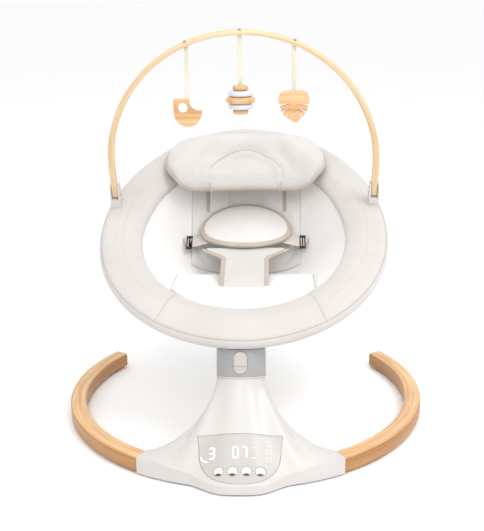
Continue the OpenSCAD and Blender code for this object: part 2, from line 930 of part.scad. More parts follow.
function open_x(s) =
    let (t = min(1, abs(s - open_mid) / open_b))
    open_a * sqrt(1 - t * t) * (1 - seat_taper * (s - open_mid) / open_b);

// Depth of the hammock's inner face
function along(s) =
    let (
        front = max(0, (crease_s - s) / (crease_s - open_mid + open_b)),
        back = max(0, (s - crease_s) / (open_mid + open_b - crease_s))
    )
    s < crease_s ? 1 - pow(min(1, front), 1.25) : 1 - pow(min(1, back), 1.45);

function bowl(x, s) =
    let (w = open_x(s), t = w < 1 ? 1 : min(1, abs(x) / w))
    edge_d + (bowl_h - edge_d) * along(s) * (1 - pow(t, 3.2));

liner_reach = 1.05;

function liner_point(a, r) =
    let (
        x = open_a * cos(a) * (1 - seat_taper * sin(a)),
        s = open_mid + open_b * sin(a)
    )
    [x * r, open_mid + (s - open_mid) * r];

module seat_liner() {
    rounds = [for (i = [0 : 13]) i < 13 ? sin(90 * i / 12.6) : liner_reach];
    steps = 48;
    surface = [
        for (r = rounds, j = [0 : steps - 1])
            liner_point(360 * j / steps, max(r, 0.02))
    ];
    n = steps;
    m = len(rounds);
    count = n * m;
    top = [for (p = surface) seat_point(p[0], p[1], bowl(p[0], p[1]))];
    under = [for (p = surface) seat_point(p[0], p[1], bowl(p[0], p[1]) + liner_t)];
    cells = [
        for (i = [0 : m - 2], j = [0 : n - 1])
            let (a = i * n + j, b = i * n + (j + 1) % n, c = b + n, d = a + n)
            each [
                [a, b, c], [a, c, d],
                [a + count, c + count, b + count], [a + count, d + count, c + count]
            ]
    ];
    hub = [
        [for (j = [n - 1 : -1 : 0]) j],
        [for (j = [0 : n - 1]) j + count]
    ];
    e = (m - 1) * n;
    edge = [
        for (j = [0 : n - 1])
            let (a = e + j, b = e + (j + 1) % n)
            each [[a, b, b + count], [a, b + count, a + count]]
    ];
    color("white") from_ring()
        polyhedron(points = concat(top, under), faces = concat(cells, hub, edge), convexity = 8);
}

cushion_half = min(118, open_a * 0.7);
cushion_in = 0.93;

function cushion_front(x) =
    open_mid - open_b * cushion_in * sqrt(1 - pow(min(1, abs(x) / (open_a * 0.95)), 2));
function cushion_back(x) = crease_s - 6 - 62 * pow(abs(x) / cushion_half, 3);

module seat_cushion() {
    color("white") from_ring() soft_layer(
        function(u, v) [cushion_half * u, lerp(cushion_front(cushion_half * u), cushion_back(cushion_half * u), (v + 1) / 2)],
        function(x, s) bowl(x, s) - soft_gap,
        function(u, v) crown(u, v, cushion_t)
    );
}

back_half = open_a * 0.58;

module back_panel() {
    color(velvet) from_ring() soft_layer(
        function(u, v) let (s = lerp(crease_s + 4, open_mid + open_b * 0.93, (v + 1) / 2))
            [min(back_half, open_x(s) * 0.9) * u, s],
        function(x, s) bowl(x, s) - soft_gap,
        function(u, v) crown(u, v, panel_pad_t)
    );
}

// Depth of the top of the pads on the back rest
function back_top(x, s) = bowl(x, s) - soft_gap - panel_pad_t - soft_gap;

pillow_s = open_mid + open_b - 45;
pillow_a = 146;
pillow_b = 60;
pillow_t = 34;
pillow_sink = 24;

// The pillow lies on the band and bridges the hammock
function pillow_under(x, s) =
    let (
        w = s - open_mid < open_b ? open_x(s) : 0,
        rise = max(smooth((abs(x) / max(w, 1) - 0.6) / 0.38), smooth((s - pillow_s + 3) / 40))
    )
    lerp(10, -rim_r - 4, rise);

// Its outline is an oval with full corners, whose lower corners reach further down
pillow_fullness = 0.35;

function pillow_place(u, v) =
    let (
        x = pillow_a * lerp(disc_x(u, v), u, pillow_fullness),
        y = pillow_b * lerp(disc_y(u, v), v, pillow_fullness),
        sink = pillow_sink * pow(x / pillow_a, 2) * (1 - v) / 2
    )
    [x, pillow_s + y - sink];

module head_pillow() {
    color(velvet) from_ring() soft_layer(
        function(u, v) pillow_place(u, v),
        function(x, s) pillow_under(x, s),
        function(u, v) crown(u, v, pillow_t, 6)
    );
}

belly_s = crease_s + 50;
belly_a = 83;
belly_b = 57;
belly_t = 13;

function belly_under(x, s) = 74 - 0.045 * (s - belly_s) + 12 * pow(x / belly_a, 2) - 6;

module belly_pad() {
    color(velvet) from_ring() soft_layer(
        function(u, v) [belly_a * disc_x(u, v), belly_s + belly_b * disc_y(u, v)],
        function(x, s) belly_under(x, s),
        function(u, v) crown(u, v, belly_t, 5)
    );
}

crotch_low = crease_s - 122;
crotch_high = crease_s;

function crotch_half(t) = 42 + 36 * smooth((t - 0.74) / 0.26);
function crotch_under(s) =
    let (t = (s - crotch_low) / (crotch_high - crotch_low))
    lerp(bowl(0, crotch_low) - cushion_t - 2, 82, smooth(t));

module crotch_strap() {
    color(velvet) from_ring() soft_layer(
        function(u, v) let (t = (v + 1) / 2) [crotch_half(t) * u, lerp(crotch_low, crotch_high, t)],
        function(x, s) crotch_under(s),
        function(u, v) crown(u, v, 7, 3),
        10, 12
    );
}

pad_x = 52;

module shoulder_pad(side) {
    color(velvet) from_ring() soft_layer(
        function(u, v) [side * pad_x + pad_w / 2 * u, lerp(belly_s + belly_b - 12, pillow_s + 16, (v + 1) / 2)],
        function(x, s) back_top(x, s),
        function(u, v) crown(u, v, 5),
        8, 10
    );
}

module left_shoulder_pad() {
    shoulder_pad(-1);
}

module right_shoulder_pad() {
    shoulder_pad(1);
}

strap_w = 25;
strap_s = belly_s - 20;
slider_x = open_a * 0.6;
slider_w = 11;
slider_l = 34;
strap_end = slider_x - slider_w / 2 - gap;

// Depth of a waist strap, from the belly pad down to the slider at the seat's side
function strap_depth(x) =
    let (t = smooth((abs(x) - 58) / (slider_x - 58)))
    lerp(belly_under(58, strap_s) + 4, bowl(slider_x, strap_s) - 19, t);

module waist_strap(side) {
    color(piping) from_ring() soft_layer(
        function(u, v) [side * lerp(58, strap_end, (side * u + 1) / 2), strap_s + strap_w / 2 * v],
        function(x, s) strap_depth(x),
        function(u, v) 1.6,
        10, 4
    );
}

module left_waist_strap() {
    waist_strap(-1);
}

module right_waist_strap() {
    waist_strap(1);
}

module strap_sliders() {
    color(dark) from_ring() for (side = [-1, 1])
        on_seat(side * slider_x, strap_s, strap_depth(slider_x) - 1)
            difference() {
                cube([slider_w, slider_l, 4], center = true);
                for (x = [-1, 1]) translate([x * slider_w / 5, 0, 0])
                    cube([slider_w / 5, strap_w + 1, 6], center = true);
            }
}

// Frame on the seat plane at a point: x across, y up the slope, z out of the seat
module on_seat(x, s, d) {
    translate(seat_point(x, s, d)) rotate([seat_tilt, 0, 0]) children();
}

module label_tag() {
    a = 58;
    p = tube_point(a);
    color(velvet) from_ring()
        on_seat(p[0], p[1], -rim_r - 0.9) rotate([0, 0, a - 90])
            translate([-9, 3, 0]) cube([18, 16, 0.8]);
}

// ---------- toy bar ----------

// Frame on a socket: origin on the tube, y along the bar's width, z up the bar's plane
module socket_place(side) {
    translate([side * bar_x, bar_foot[1], bar_foot[2]]) rotate([bar_lean, 0, 0])
        rotate([0, 0, side > 0 ? 0 : 180]) children();
}

module socket_body() {
    outer = bar_t / 2 + 3.5;
    hull() {
        translate([-outer, -bar_w / 2 - 6, 8]) cube([outer * 2, bar_w + 12, 4]);
        translate([-outer, -bar_w / 2 - 2, pivot_h + 12]) cube([outer * 2 - 1.5, bar_w + 4, 4]);
    }
    translate([-outer, -socket_h / 2, 2]) cube([outer * 2, socket_h, 14]);
}

module bar_socket(side) {
    color(shell_white) difference() {
        from_ring() socket_place(side) difference() {
            socket_body();
            translate([-bar_t / 2 - gap, -bar_w, socket_floor]) cube([bar_t + 2 * gap, 2 * bar_w, 60]);
            translate([-20, 0, pivot_h]) rotate([0, 90, 0])
                cylinder(d = pin_d + 2 * fit_gap, h = 40, $fn = 40);
        }
        from_ring() tube_solid(tube_d / 2 + 0.1, 14);
    }
}

pin_d = 5;

module left_socket() {
    bar_socket(-1);
}

module right_socket() {
    bar_socket(1);
}

module bar_pins() {
    color(steel) from_ring() for (side = [-1, 1]) socket_place(side)
        translate([-bar_t / 2 - 4.7, 0, pivot_h]) rotate([0, 90, 0]) {
            cylinder(d = pin_d, h = bar_t + 7.5, $fn = 40);
            cylinder(d = pin_d + 3.5, h = 1.2, $fn = 40);
        }
}

// Middle line of the strip in its own plane: straight up, then half of an oval
bar_low = pivot_h - 6.5;

function bar_point(a) = [bar_x * cos(a), 0, pivot_h + bar_straight + (bar_rise - bar_straight) * sin(a)];
function bar_thick(x) = lerp(bar_top_t, bar_t, pow(abs(x) / bar_x, 3));

bar_line = concat(
    [[bar_x, 0, bar_low]],
    [for (i = [0 : bar_steps]) bar_point(180 * i / bar_steps)],
    [[-bar_x, 0, bar_low]]
);

module on_bar() {
    translate([0, bar_foot[1], bar_foot[2]]) rotate([bar_lean, 0, 0]) children();
}

module toy_bar() {
    section = oblong_points(1, bar_w, 0.2, 2);
    rings = [
        for (i = [0 : len(bar_line) - 1])
            let (t = unit(path_step(bar_line, i, false)), out = cross([0, 1, 0], t))
            [for (q = section) bar_line[i] + out * q[0] * bar_thick(bar_line[i][0]) + [0, q[1], 0]]
    ];
    color(wood) from_ring() on_bar() difference() {
        loft(rings);
        translate([-bar_x - 20, 0, pivot_h]) rotate([0, 90, 0])
            cylinder(d = pin_d + 2 * fit_gap, h = 2 * bar_x + 40, $fn = 40);
        for (i = [-1 : 1]) translate([i * toy_pitch, 0, bar_h(i * toy_pitch) - 20])
            cylinder(d = 3, h = 40, $fn = 24);
    }
}

function bar_h(x) =
    pivot_h + bar_straight + (bar_rise - bar_straight) * sqrt(1 - pow(x / bar_x, 2));

module bar_knobs() {
    color(grey) from_ring() on_bar() for (i = [-1 : 1])
        translate([i * toy_pitch, 0, bar_h(i * toy_pitch)])
            rotate([0, bar_slope(i * toy_pitch), 0]) translate([0, 0, bar_thick(i * toy_pitch) / 2 + 0.1])
                cylinder(d1 = 5, d2 = 4, h = 2.5, $fn = 32);
}

// Slope of the bar at x, as the angle of its outward normal from upright
function bar_slope(x) = atan((bar_rise - bar_straight) / bar_x * (x / bar_x) / sqrt(1 - pow(x / bar_x, 2)));

// Ribbons hang from the bar's underside by a small rolled hem
function ribbon_top(i) =
    let (x = i * toy_pitch, h = bar_h(x) - bar_thick(x) / 2 / cos(bar_slope(x)) - 3.2)
    [x, bar_foot[1] - h * sin(bar_lean), bar_foot[2] + h * cos(bar_lean)];

module on_ribbon(i) {
    from_ring() translate(ribbon_top(i)) children();
}

// Frame at the lower end of a ribbon
module under_ribbon(i) {
    on_ribbon(i) translate([0, 0, -ribbon_ls[i + 1]]) children();
}

module ribbon(i) {
    color("#EFE6D6") on_ribbon(i) {
        translate([-ribbon_w / 2, -0.6, -ribbon_ls[i + 1]]) cube([ribbon_w, 1.2, ribbon_ls[i + 1]]);
        rotate([0, 90, 0]) cylinder(d = 2, h = ribbon_w, center = true, $fn = 32);
    }
}

module left_ribbon() {
    ribbon(-1);
}

module middle_ribbon() {
    ribbon(0);
}

module right_ribbon() {
    ribbon(1);
}

toy_t = 9;

// Wooden crescent with a round eye and a wing tip
module teether() {
    color(wood) under_ribbon(-1) translate([0, toy_t / 2, -24.5]) rotate([90, 0, 0])
        linear_extrude(toy_t) difference() {
            hull() {
                circle(r = 22, $fn = 64);
                translate([-20, 19]) circle(r = 3, $fn = 32);
            }
            translate([-8, 8]) circle(r = 8, $fn = 48);
            translate([17.5, 19]) circle(r = 15.5, $fn = 48);
        }
}

ring_hs = [7.5, 9, 10, 9, 7.5];
ring_ds = [25, 39, 46, 39, 25];

function ring_z(i) = i == 0 ? 0 : ring_z(i - 1) - (ring_hs[i - 1] + ring_hs[i]) / 2 - 0.4;

module stack_ring(i) {
    translate([0, 0, ring_z(i)]) rotate_extrude($fn = 64) {
        translate([0, -ring_hs[i] / 2]) square([ring_ds[i] / 2 - ring_hs[i] / 2, ring_hs[i]]);
        translate([ring_ds[i] / 2 - ring_hs[i] / 2, 0]) circle(d = ring_hs[i], $fn = 40);
    }
}

module wooden_rings() {
    color(wood) under_ribbon(0) translate([0, 0, -ring_hs[0] / 2])
        for (i = [0, 2, 4]) stack_ring(i);
}

module pale_rings() {
    color("#D6DBE2") under_ribbon(0) translate([0, 0, -ring_hs[0] / 2])
        for (i = [1, 3]) stack_ring(i);
}

// Split leaf: broad lobes above a rounded tip, with slots that open towards the edge
module wooden_leaf() {
    color(wood) under_ribbon(1) translate([0, toy_t / 2, -24]) rotate([90, 0, 0])
        linear_extrude(toy_t) difference() {
            hull() {
                for (side = [-1, 1]) translate([side * 11, 9]) circle(r = 13.5, $fn = 64);
                translate([0, -2]) circle(r = 21, $fn = 64);
                translate([2, -20]) circle(r = 7, $fn = 48);
            }
            for (side = [-1, 1], k = [0 : 2])
                translate([side * 7, 2 - k * 7]) rotate(side > 0 ? -8 - k * 22 : 188 + k * 22)
                    polygon([[0, -0.5], [26, -2.6], [26, 2.6], [0, 0.5]]);
            translate([0, 23.5]) circle(r = 4, $fn = 40);
        }
}

base_housing();
base_cover();
left_leg();
right_leg();
leg_feet();
base_feet();
leg_screws();
cover_screws();
control_panel();
display_digits();
display_symbols();
power_button();
speed_button();
timer_button();
sound_button();
control_board();
speaker();
power_inlet();
bearing_housing();
lower_bearing();
upper_bearing();
swing_shaft();
magnet_arm();
drive_magnet();
drive_coil();
collar_ring();
collar_shell();
latch_button();
latch_spring();
seat_hub();
seat_frame();
seat_support();
rim_cover();
seat_liner();
seat_cushion();
back_panel();
head_pillow();
belly_pad();
crotch_strap();
left_shoulder_pad();
right_shoulder_pad();
left_waist_strap();
right_waist_strap();
strap_sliders();
label_tag();
left_socket();
right_socket();
bar_pins();
toy_bar();
bar_knobs();
left_ribbon();
middle_ribbon();
right_ribbon();
teether();
wooden_rings();
pale_rings();
wooden_leaf();
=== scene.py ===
"""Looks of a baby swing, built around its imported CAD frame.

Shapes are worked out in millimetres from the middle of the floor ring, front towards -Y,
and make() turns them into metres in the frame's own place.
"""

import json

import bmesh
import bpy
import numpy as np
from mathutils import Matrix, Vector, kdtree

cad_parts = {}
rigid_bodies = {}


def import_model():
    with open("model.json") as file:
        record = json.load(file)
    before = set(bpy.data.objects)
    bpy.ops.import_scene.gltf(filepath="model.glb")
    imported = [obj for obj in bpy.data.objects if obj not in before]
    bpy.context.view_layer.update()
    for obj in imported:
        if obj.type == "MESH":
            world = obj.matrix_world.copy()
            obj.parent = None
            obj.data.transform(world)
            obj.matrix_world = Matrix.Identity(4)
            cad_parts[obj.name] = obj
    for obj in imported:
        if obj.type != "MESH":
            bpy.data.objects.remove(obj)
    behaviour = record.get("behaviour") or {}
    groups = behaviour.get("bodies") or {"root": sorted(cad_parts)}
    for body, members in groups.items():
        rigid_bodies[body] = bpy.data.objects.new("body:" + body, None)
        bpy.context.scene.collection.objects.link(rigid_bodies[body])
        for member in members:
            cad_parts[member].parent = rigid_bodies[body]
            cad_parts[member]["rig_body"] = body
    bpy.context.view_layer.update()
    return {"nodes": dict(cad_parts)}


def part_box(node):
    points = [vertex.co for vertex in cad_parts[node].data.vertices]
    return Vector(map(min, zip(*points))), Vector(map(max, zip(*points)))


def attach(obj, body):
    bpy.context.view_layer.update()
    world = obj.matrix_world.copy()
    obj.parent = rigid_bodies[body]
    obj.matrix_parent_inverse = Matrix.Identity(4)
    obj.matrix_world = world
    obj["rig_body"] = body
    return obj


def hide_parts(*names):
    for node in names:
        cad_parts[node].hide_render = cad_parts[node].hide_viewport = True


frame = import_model()

RING_Y = 2.873

# ---------- camera ----------

VIEW_RISE = 25.15
VIEW_AWAY = 1650
VIEW_TURN = -2.0
VIEW_ROLL = 0.9
FOCAL_PX = 931.8
IMAGE_W = 484
IMAGE_H = 531
RING_PX = (245.6, 400.5)
SENSOR = 36


def turned(vector, degrees):
    """Vector turned about the upright axis."""
    return Matrix.Rotation(np.radians(degrees), 3, "Z") @ Vector(vector)


def add_camera():
    """Camera that sees the floor ring's middle at RING_PX."""
    rise = np.radians(VIEW_RISE)
    roll = np.radians(VIEW_ROLL)
    du = RING_PX[0] - IMAGE_W / 2
    dv = IMAGE_H / 2 - RING_PX[1]
    u = np.cos(roll) * du + np.sin(roll) * dv
    v = -np.sin(roll) * du + np.cos(roll) * dv
    pitch = rise + np.arctan2(v, FOCAL_PX)
    pan = np.arctan2(u, np.hypot(FOCAL_PX, v))
    ahead = Vector((-np.sin(pan), np.cos(pan) * np.cos(pitch), -np.cos(pan) * np.sin(pitch)))
    right = ahead.cross(Vector((0, 0, 1))).normalized()
    up = right.cross(ahead)
    tilted_right = np.cos(roll) * right - np.sin(roll) * up
    tilted_up = np.sin(roll) * right + np.cos(roll) * up
    place = Vector((0, -VIEW_AWAY * np.cos(rise), VIEW_AWAY * np.sin(rise)))
    axes = [turned(a, -VIEW_TURN) for a in (tilted_right, tilted_up, -ahead)]
    place = turned(place, -VIEW_TURN) + Vector((0, RING_Y, 0))
    matrix = Matrix([list(row) for row in zip(*axes)]).to_4x4()
    matrix.translation = place / 1000
    data = bpy.data.cameras.new("camera")
    data.sensor_width = SENSOR
    data.lens = FOCAL_PX / IMAGE_H * SENSOR
    camera = bpy.data.objects.new("camera", data)
    camera.matrix_world = matrix
    bpy.context.scene.collection.objects.link(camera)
    bpy.context.scene.camera = camera


add_camera()

# ---------- materials ----------


def new_material(name):
    mat = bpy.data.materials.new(name)
    mat.use_nodes = True
    tree = mat.node_tree
    return mat, tree, tree.nodes["Principled BSDF"]


def link(tree, source, target):
    tree.links.new(source, target)


def texture(tree, kind, place, **values):
    """Texture node fed with a place; values set its sockets and settings."""
    node = tree.nodes.new(kind)
    for key, value in values.items():
        if key in node.inputs:
            node.inputs[key].default_value = value
        else:
            setattr(node, key, value)
    link(tree, place, node.inputs["Vector"])
    return node


def stretched(tree, place, scale):
    """Place stretched by a scale along each axis."""
    node = tree.nodes.new("ShaderNodeMapping")
    node.inputs["Scale"].default_value = scale
    link(tree, place, node.inputs["Vector"])
    return node.outputs["Vector"]


def blend_colours(tree, factor, low, high, start=0.3, end=0.7):
    """Colour that runs from low to high as the factor goes from start to end."""
    ramp = tree.nodes.new("ShaderNodeValToRGB")
    ramp.color_ramp.elements[0].position = start
    ramp.color_ramp.elements[1].position = end
    ramp.color_ramp.elements[0].color = (*low, 1)
    ramp.color_ramp.elements[1].color = (*high, 1)
    link(tree, factor, ramp.inputs["Fac"])
    return ramp.outputs["Color"]


def multiply(tree, first, second, amount):
    mix = tree.nodes.new("ShaderNodeMix")
    mix.data_type = "RGBA"
    mix.blend_type = "MULTIPLY"
    mix.inputs["Factor"].default_value = amount
    link(tree, first, mix.inputs[6])
    link(tree, second, mix.inputs[7])
    return mix.outputs[2]


def arithmetic(tree, operation, first, second):
    node = tree.nodes.new("ShaderNodeMath")
    node.operation = operation
    link(tree, first, node.inputs[0])
    if isinstance(second, (int, float)):
        node.inputs[1].default_value = second
    else:
        link(tree, second, node.inputs[1])
    return node.outputs[0]


def bump(tree, shader, height, strength, distance):
    node = tree.nodes.new("ShaderNodeBump")
    node.inputs["Strength"].default_value = strength
    node.inputs["Distance"].default_value = distance
    link(tree, height, node.inputs["Height"])
    link(tree, node.outputs["Normal"], shader.inputs["Normal"])


def roughen(tree, shader, factor, low, high):
    span = tree.nodes.new("ShaderNodeMapRange")
    span.inputs["To Min"].default_value = low
    span.inputs["To Max"].default_value = high
    link(tree, factor, span.inputs["Value"])
    link(tree, span.outputs["Result"], shader.inputs["Roughness"])


def place_of(tree):
    return tree.nodes.new("ShaderNodeTexCoord").outputs["Object"]


# Wave texture scale that gives one thread each millimetre
WAVES_PER_PITCH = 314


def cloth(name, low, high, pitch=1.4, depth=0.0003, sheen=0.3, weave=0.12):
    """Woven cloth: crossed threads one pitch apart in millimetres, soft patches, some fuzz."""
    mat, tree, shader = new_material(name)
    place = place_of(tree)
    patches = texture(tree, "ShaderNodeTexNoise", place, Scale=14.0, Detail=4.0)
    fuzz = texture(tree, "ShaderNodeTexNoise", place, Scale=900.0, Detail=3.0)
    wave = dict(Scale=WAVES_PER_PITCH / pitch, Distortion=0.6)
    across, along, upright = [
        texture(tree, "ShaderNodeTexWave", place, bands_direction=way, **wave).outputs["Fac"] for way in "XYZ"
    ]
    threads = arithmetic(tree, "MULTIPLY", across, along)
    threads = arithmetic(tree, "ADD", threads, arithmetic(tree, "MULTIPLY", upright, 0.5))
    colour = blend_colours(tree, patches.outputs["Fac"], low, high)
    shade = blend_colours(tree, threads, (0.7, 0.69, 0.67), (1, 1, 1), 0.0, 0.8)
    colour = multiply(tree, colour, shade, weave)
    specks = blend_colours(tree, fuzz.outputs["Fac"], (0.86, 0.85, 0.84), (1, 1, 1), 0.35, 0.55)
    link(tree, multiply(tree, colour, specks, 0.35), shader.inputs["Base Color"])
    height = arithmetic(tree, "ADD", threads, arithmetic(tree, "MULTIPLY", fuzz.outputs["Fac"], 0.8))
    bump(tree, shader, height, 0.45, depth)
    roughen(tree, shader, fuzz.outputs["Fac"], 0.78, 0.96)
    shader.inputs["Sheen Weight"].default_value = sheen
    shader.inputs["Sheen Roughness"].default_value = 0.45
    shader.inputs["Specular IOR Level"].default_value = 0.25
    return mat


def plastic(name, low, high, rough=0.34, grain=0.00004):
    """Moulded plastic with a fine spark-eroded grain and faint flow patches."""
    mat, tree, shader = new_material(name)
    place = place_of(tree)
    patches = texture(tree, "ShaderNodeTexNoise", place, Scale=9.0, Detail=3.0)
    fine = texture(tree, "ShaderNodeTexNoise", place, Scale=1600.0, Detail=2.0)
    link(tree, blend_colours(tree, patches.outputs["Fac"], low, high), shader.inputs["Base Color"])
    bump(tree, shader, fine.outputs["Fac"], 0.25, grain)
    roughen(tree, shader, patches.outputs["Fac"], rough - 0.05, rough + 0.07)
    return mat


def metal(name, low, high, rough=0.3):
    """Brushed metal."""
    mat, tree, shader = new_material(name)
    place = place_of(tree)
    lines = texture(
        tree, "ShaderNodeTexNoise", stretched(tree, place, (1, 1, 24)), Scale=140.0, Detail=4.0
    )
    link(tree, blend_colours(tree, lines.outputs["Fac"], low, high), shader.inputs["Base Color"])
    bump(tree, shader, lines.outputs["Fac"], 0.2, 0.00005)
    roughen(tree, shader, lines.outputs["Fac"], rough - 0.08, rough + 0.12)
    shader.inputs["Metallic"].default_value = 1.0
    return mat


def timber(name, low, mid, high, grained, edge=None):
    """Bent beech: streaks and short pores along the grain; where edge is given, the sides and underside are
    painted darker as shade, and only the top keeps its full colour.

    A grained piece carries its own grain coordinates, others take their place in space.
    """
    mat, tree, shader = new_material(name)
    if grained:
        attribute = tree.nodes.new("ShaderNodeAttribute")
        attribute.attribute_name = "grain"
        place = attribute.outputs["Vector"]
    else:
        place = place_of(tree)
    along_grain = stretched(tree, place, (0.05, 1, 1))
    streaks = texture(tree, "ShaderNodeTexNoise", along_grain, Scale=260.0, Detail=6.0)
    broad = texture(tree, "ShaderNodeTexNoise", along_grain, Scale=60.0, Detail=3.0)
    pores = texture(tree, "ShaderNodeTexVoronoi", stretched(tree, place, (0.12, 1, 1)), Scale=620.0)
    colour = blend_colours(tree, streaks.outputs["Fac"], mid, high, 0.35, 0.62)
    tint = blend_colours(tree, broad.outputs["Fac"], low, (1, 1, 1), 0.25, 0.6)
    colour = multiply(tree, colour, tint, 0.45)
    dots = blend_colours(tree, pores.outputs["Distance"], (0.62, 0.5, 0.38), (1, 1, 1), 0.05, 0.22)
    colour = multiply(tree, colour, dots, 0.4)
    # painted shade: everything below the top face is tinted towards the edge colour
    if edge:
        parts = tree.nodes.new("ShaderNodeSeparateXYZ")
        link(tree, place, parts.inputs["Vector"])
        level = arithmetic(tree, "MULTIPLY", parts.outputs["Z"], 80)
        colour = multiply(tree, colour, blend_colours(tree, level, edge, (1, 1, 1), 0.84, 0.97), 1.0)
    link(tree, colour, shader.inputs["Base Color"])
    bump(tree, shader, streaks.outputs["Fac"], 0.22, 0.0002)
    roughen(tree, shader, streaks.outputs["Fac"], 0.36, 0.52)
    shader.inputs["Coat Weight"].default_value = 0.12
    shader.inputs["Coat Roughness"].default_value = 0.3
    return mat


def glowing(name, colour, strength):
    """Lit display segment, a little brighter in its middle patches."""
    mat, tree, shader = new_material(name)
    noise = texture(tree, "ShaderNodeTexNoise", place_of(tree), Scale=300.0, Detail=2.0)
    tone = blend_colours(tree, noise.outputs["Fac"], tuple(c * 0.94 for c in colour), colour)
    link(tree, tone, shader.inputs["Base Color"])
    link(tree, tone, shader.inputs["Emission Color"])
    shader.inputs["Emission Strength"].default_value = strength
    shader.inputs["Roughness"].default_value = 0.4
    return mat


# the last colour is the painted shade on the legs' sides
WOOD = timber(
    "beech", (0.66, 0.45, 0.26), (0.62, 0.36, 0.155), (0.78, 0.52, 0.28), True, (0.60, 0.46, 0.30)
)
PALE_WOOD = timber("pale_beech", (0.8, 0.68, 0.5), (0.66, 0.48, 0.275), (0.76, 0.58, 0.37), True)
TOY_WOOD = timber("toy_beech", (0.66, 0.46, 0.28), (0.60, 0.35, 0.15), (0.75, 0.48, 0.245), False)
WHITE = plastic("white_shell", (0.565, 0.54, 0.52), (0.60, 0.575, 0.555), 0.32)
PANEL = plastic("panel_shell", (0.475, 0.455, 0.43), (0.505, 0.485, 0.46), 0.3)
KEY = plastic("key_shell", (0.64, 0.625, 0.60), (0.68, 0.66, 0.64), 0.28)
CREAM = plastic("cream_shell", (0.47, 0.43, 0.40), (0.51, 0.465, 0.435), 0.34)
GREY = plastic("satin_grey", (0.29, 0.295, 0.30), (0.345, 0.35, 0.355), 0.34)
DARK = plastic("dark_plastic", (0.012, 0.012, 0.014), (0.02, 0.02, 0.022), 0.4)
MARK = plastic("key_mark", (0.05, 0.045, 0.045), (0.08, 0.075, 0.07), 0.4)
RUBBER = plastic("dark_rubber", (0.05, 0.05, 0.052), (0.075, 0.075, 0.078), 0.7, 0.0001)
STEEL = metal("bright_steel", (0.58, 0.59, 0.6), (0.72, 0.73, 0.74))
TUBE = metal("coated_tube", (0.42, 0.43, 0.45), (0.52, 0.53, 0.55), 0.42)
BRASS = metal("wound_wire", (0.62, 0.34, 0.16), (0.8, 0.48, 0.24))
BOARD = plastic("green_board", (0.02, 0.12, 0.05), (0.03, 0.17, 0.08), 0.45)
LIT = glowing("lit_segment", (1.0, 1.0, 1.0), 0.7)
# unlit symbols given a faint painted glow
FAINT = glowing("faint_glow_symbol", (0.70, 0.70, 0.69), 0.05)
VELVET = cloth("velvet", (0.56, 0.53, 0.505), (0.605, 0.575, 0.55), 1.2, 0.0002, 0.35, 0.06)
# shaded copy of the velvet: painted darker as the shade between the shoulder pads
SHADED = cloth("warm_velvet_painted_shade", (0.56, 0.52, 0.48), (0.61, 0.57, 0.53), 1.2, 0.0002, 0.35, 0.08)
PLUSH = cloth("white_plush", (0.60, 0.58, 0.56), (0.645, 0.625, 0.605), 1.3, 0.0003, 0.3, 0.1)
# lit copy of the white plush: painted lighter to offset the shade inside the seat
PLUSH_PAINTED_LIGHT = cloth("plush_painted_lighter", (0.71, 0.695, 0.68), (0.75, 0.735, 0.72), 1.3, 0.0003, 0.3, 0.1)
LINING = cloth("white_lining", (0.88, 0.87, 0.86), (0.92, 0.915, 0.905), 1.6, 0.0003, 0.15, 0.12)
PIPING = cloth("taupe_binding", (0.47, 0.41, 0.35), (0.54, 0.475, 0.41), 1.1, 0.0003, 0.2, 0.25)
WEB = cloth("cream_webbing", (0.62, 0.565, 0.52), (0.68, 0.625, 0.58), 1.5, 0.0004, 0.1, 0.4)
THREAD = cloth("seam_thread", (0.48, 0.445, 0.41), (0.55, 0.51, 0.475), 1.0, 0.0002, 0.1, 0.3)
TAPE = cloth("ribbon_tape", (0.70, 0.64, 0.54), (0.75, 0.69, 0.59), 1.2, 0.0003, 0.1, 0.35)
PALE_PAINT = plastic("pale_paint", (0.56, 0.59, 0.64), (0.61, 0.64, 0.69), 0.42)

# ---------- mesh tools ----------


def smooth(t):
    k = np.clip(t, 0, 1)
    return k * k * (3 - 2 * k)


def lerp(a, b, t):
    return a + (b - a) * t


def finish_mesh(obj, crease=38):
    """Normals outwards, smooth shading, edges over the crease angle left sharp."""
    bm = bmesh.new()
    bm.from_mesh(obj.data)
    bmesh.ops.remove_doubles(bm, verts=bm.verts, dist=1e-6)
    bmesh.ops.recalc_face_normals(bm, faces=bm.faces)
    for face in bm.faces:
        face.smooth = True
    limit = np.radians(crease)
    for edge in bm.edges:
        edge.smooth = len(edge.link_faces) == 2 and edge.calc_face_angle() < limit
    bm.to_mesh(obj.data)
    bm.free()


def make(name, points, faces, mat, body, slot=None, crease=38, grain=None):
    """Piece from points in millimetres, riding on a body."""
    mesh = bpy.data.meshes.new(name)
    placed = (np.asarray(points, float).reshape(-1, 3) + [0, RING_Y, 0]) / 1000
    mesh.from_pydata(placed.tolist(), [], [list(map(int, f)) for f in faces])
    if grain is not None:
        attribute = mesh.attributes.new("grain", "FLOAT_VECTOR", "POINT")
        attribute.data.foreach_set("vector", np.asarray(grain, np.float32).reshape(-1) / 1000)
    obj = bpy.data.objects.new(name, mesh)
    bpy.context.scene.collection.objects.link(obj)
    finish_mesh(obj, crease)
    mesh.materials.append(mat)
    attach(obj, body)
    return obj


def grid_faces(rows, cols, wrap_rows=False, wrap_cols=False, start=0):
    faces = []
    for j in range(rows if wrap_rows else rows - 1):
        for i in range(cols if wrap_cols else cols - 1):
            a = j * cols + i
            b = j * cols + (i + 1) % cols
            c = (j + 1) % rows * cols + (i + 1) % cols
            d = (j + 1) % rows * cols + i
            faces.append((start + a, start + b, start + c, start + d))
    return faces


def loft_data(rings, wrap_rows=False):
    """Points and faces of a solid through closed rings, capped at its ends."""
    rings = np.asarray(rings, float)
    rows, cols = rings.shape[:2]
    faces = grid_faces(rows, cols, wrap_rows, True)
    if not wrap_rows:
        faces.append(tuple(range(cols)))
        faces.append(tuple(range((rows - 1) * cols, rows * cols)))
    return rings.reshape(-1, 3), faces


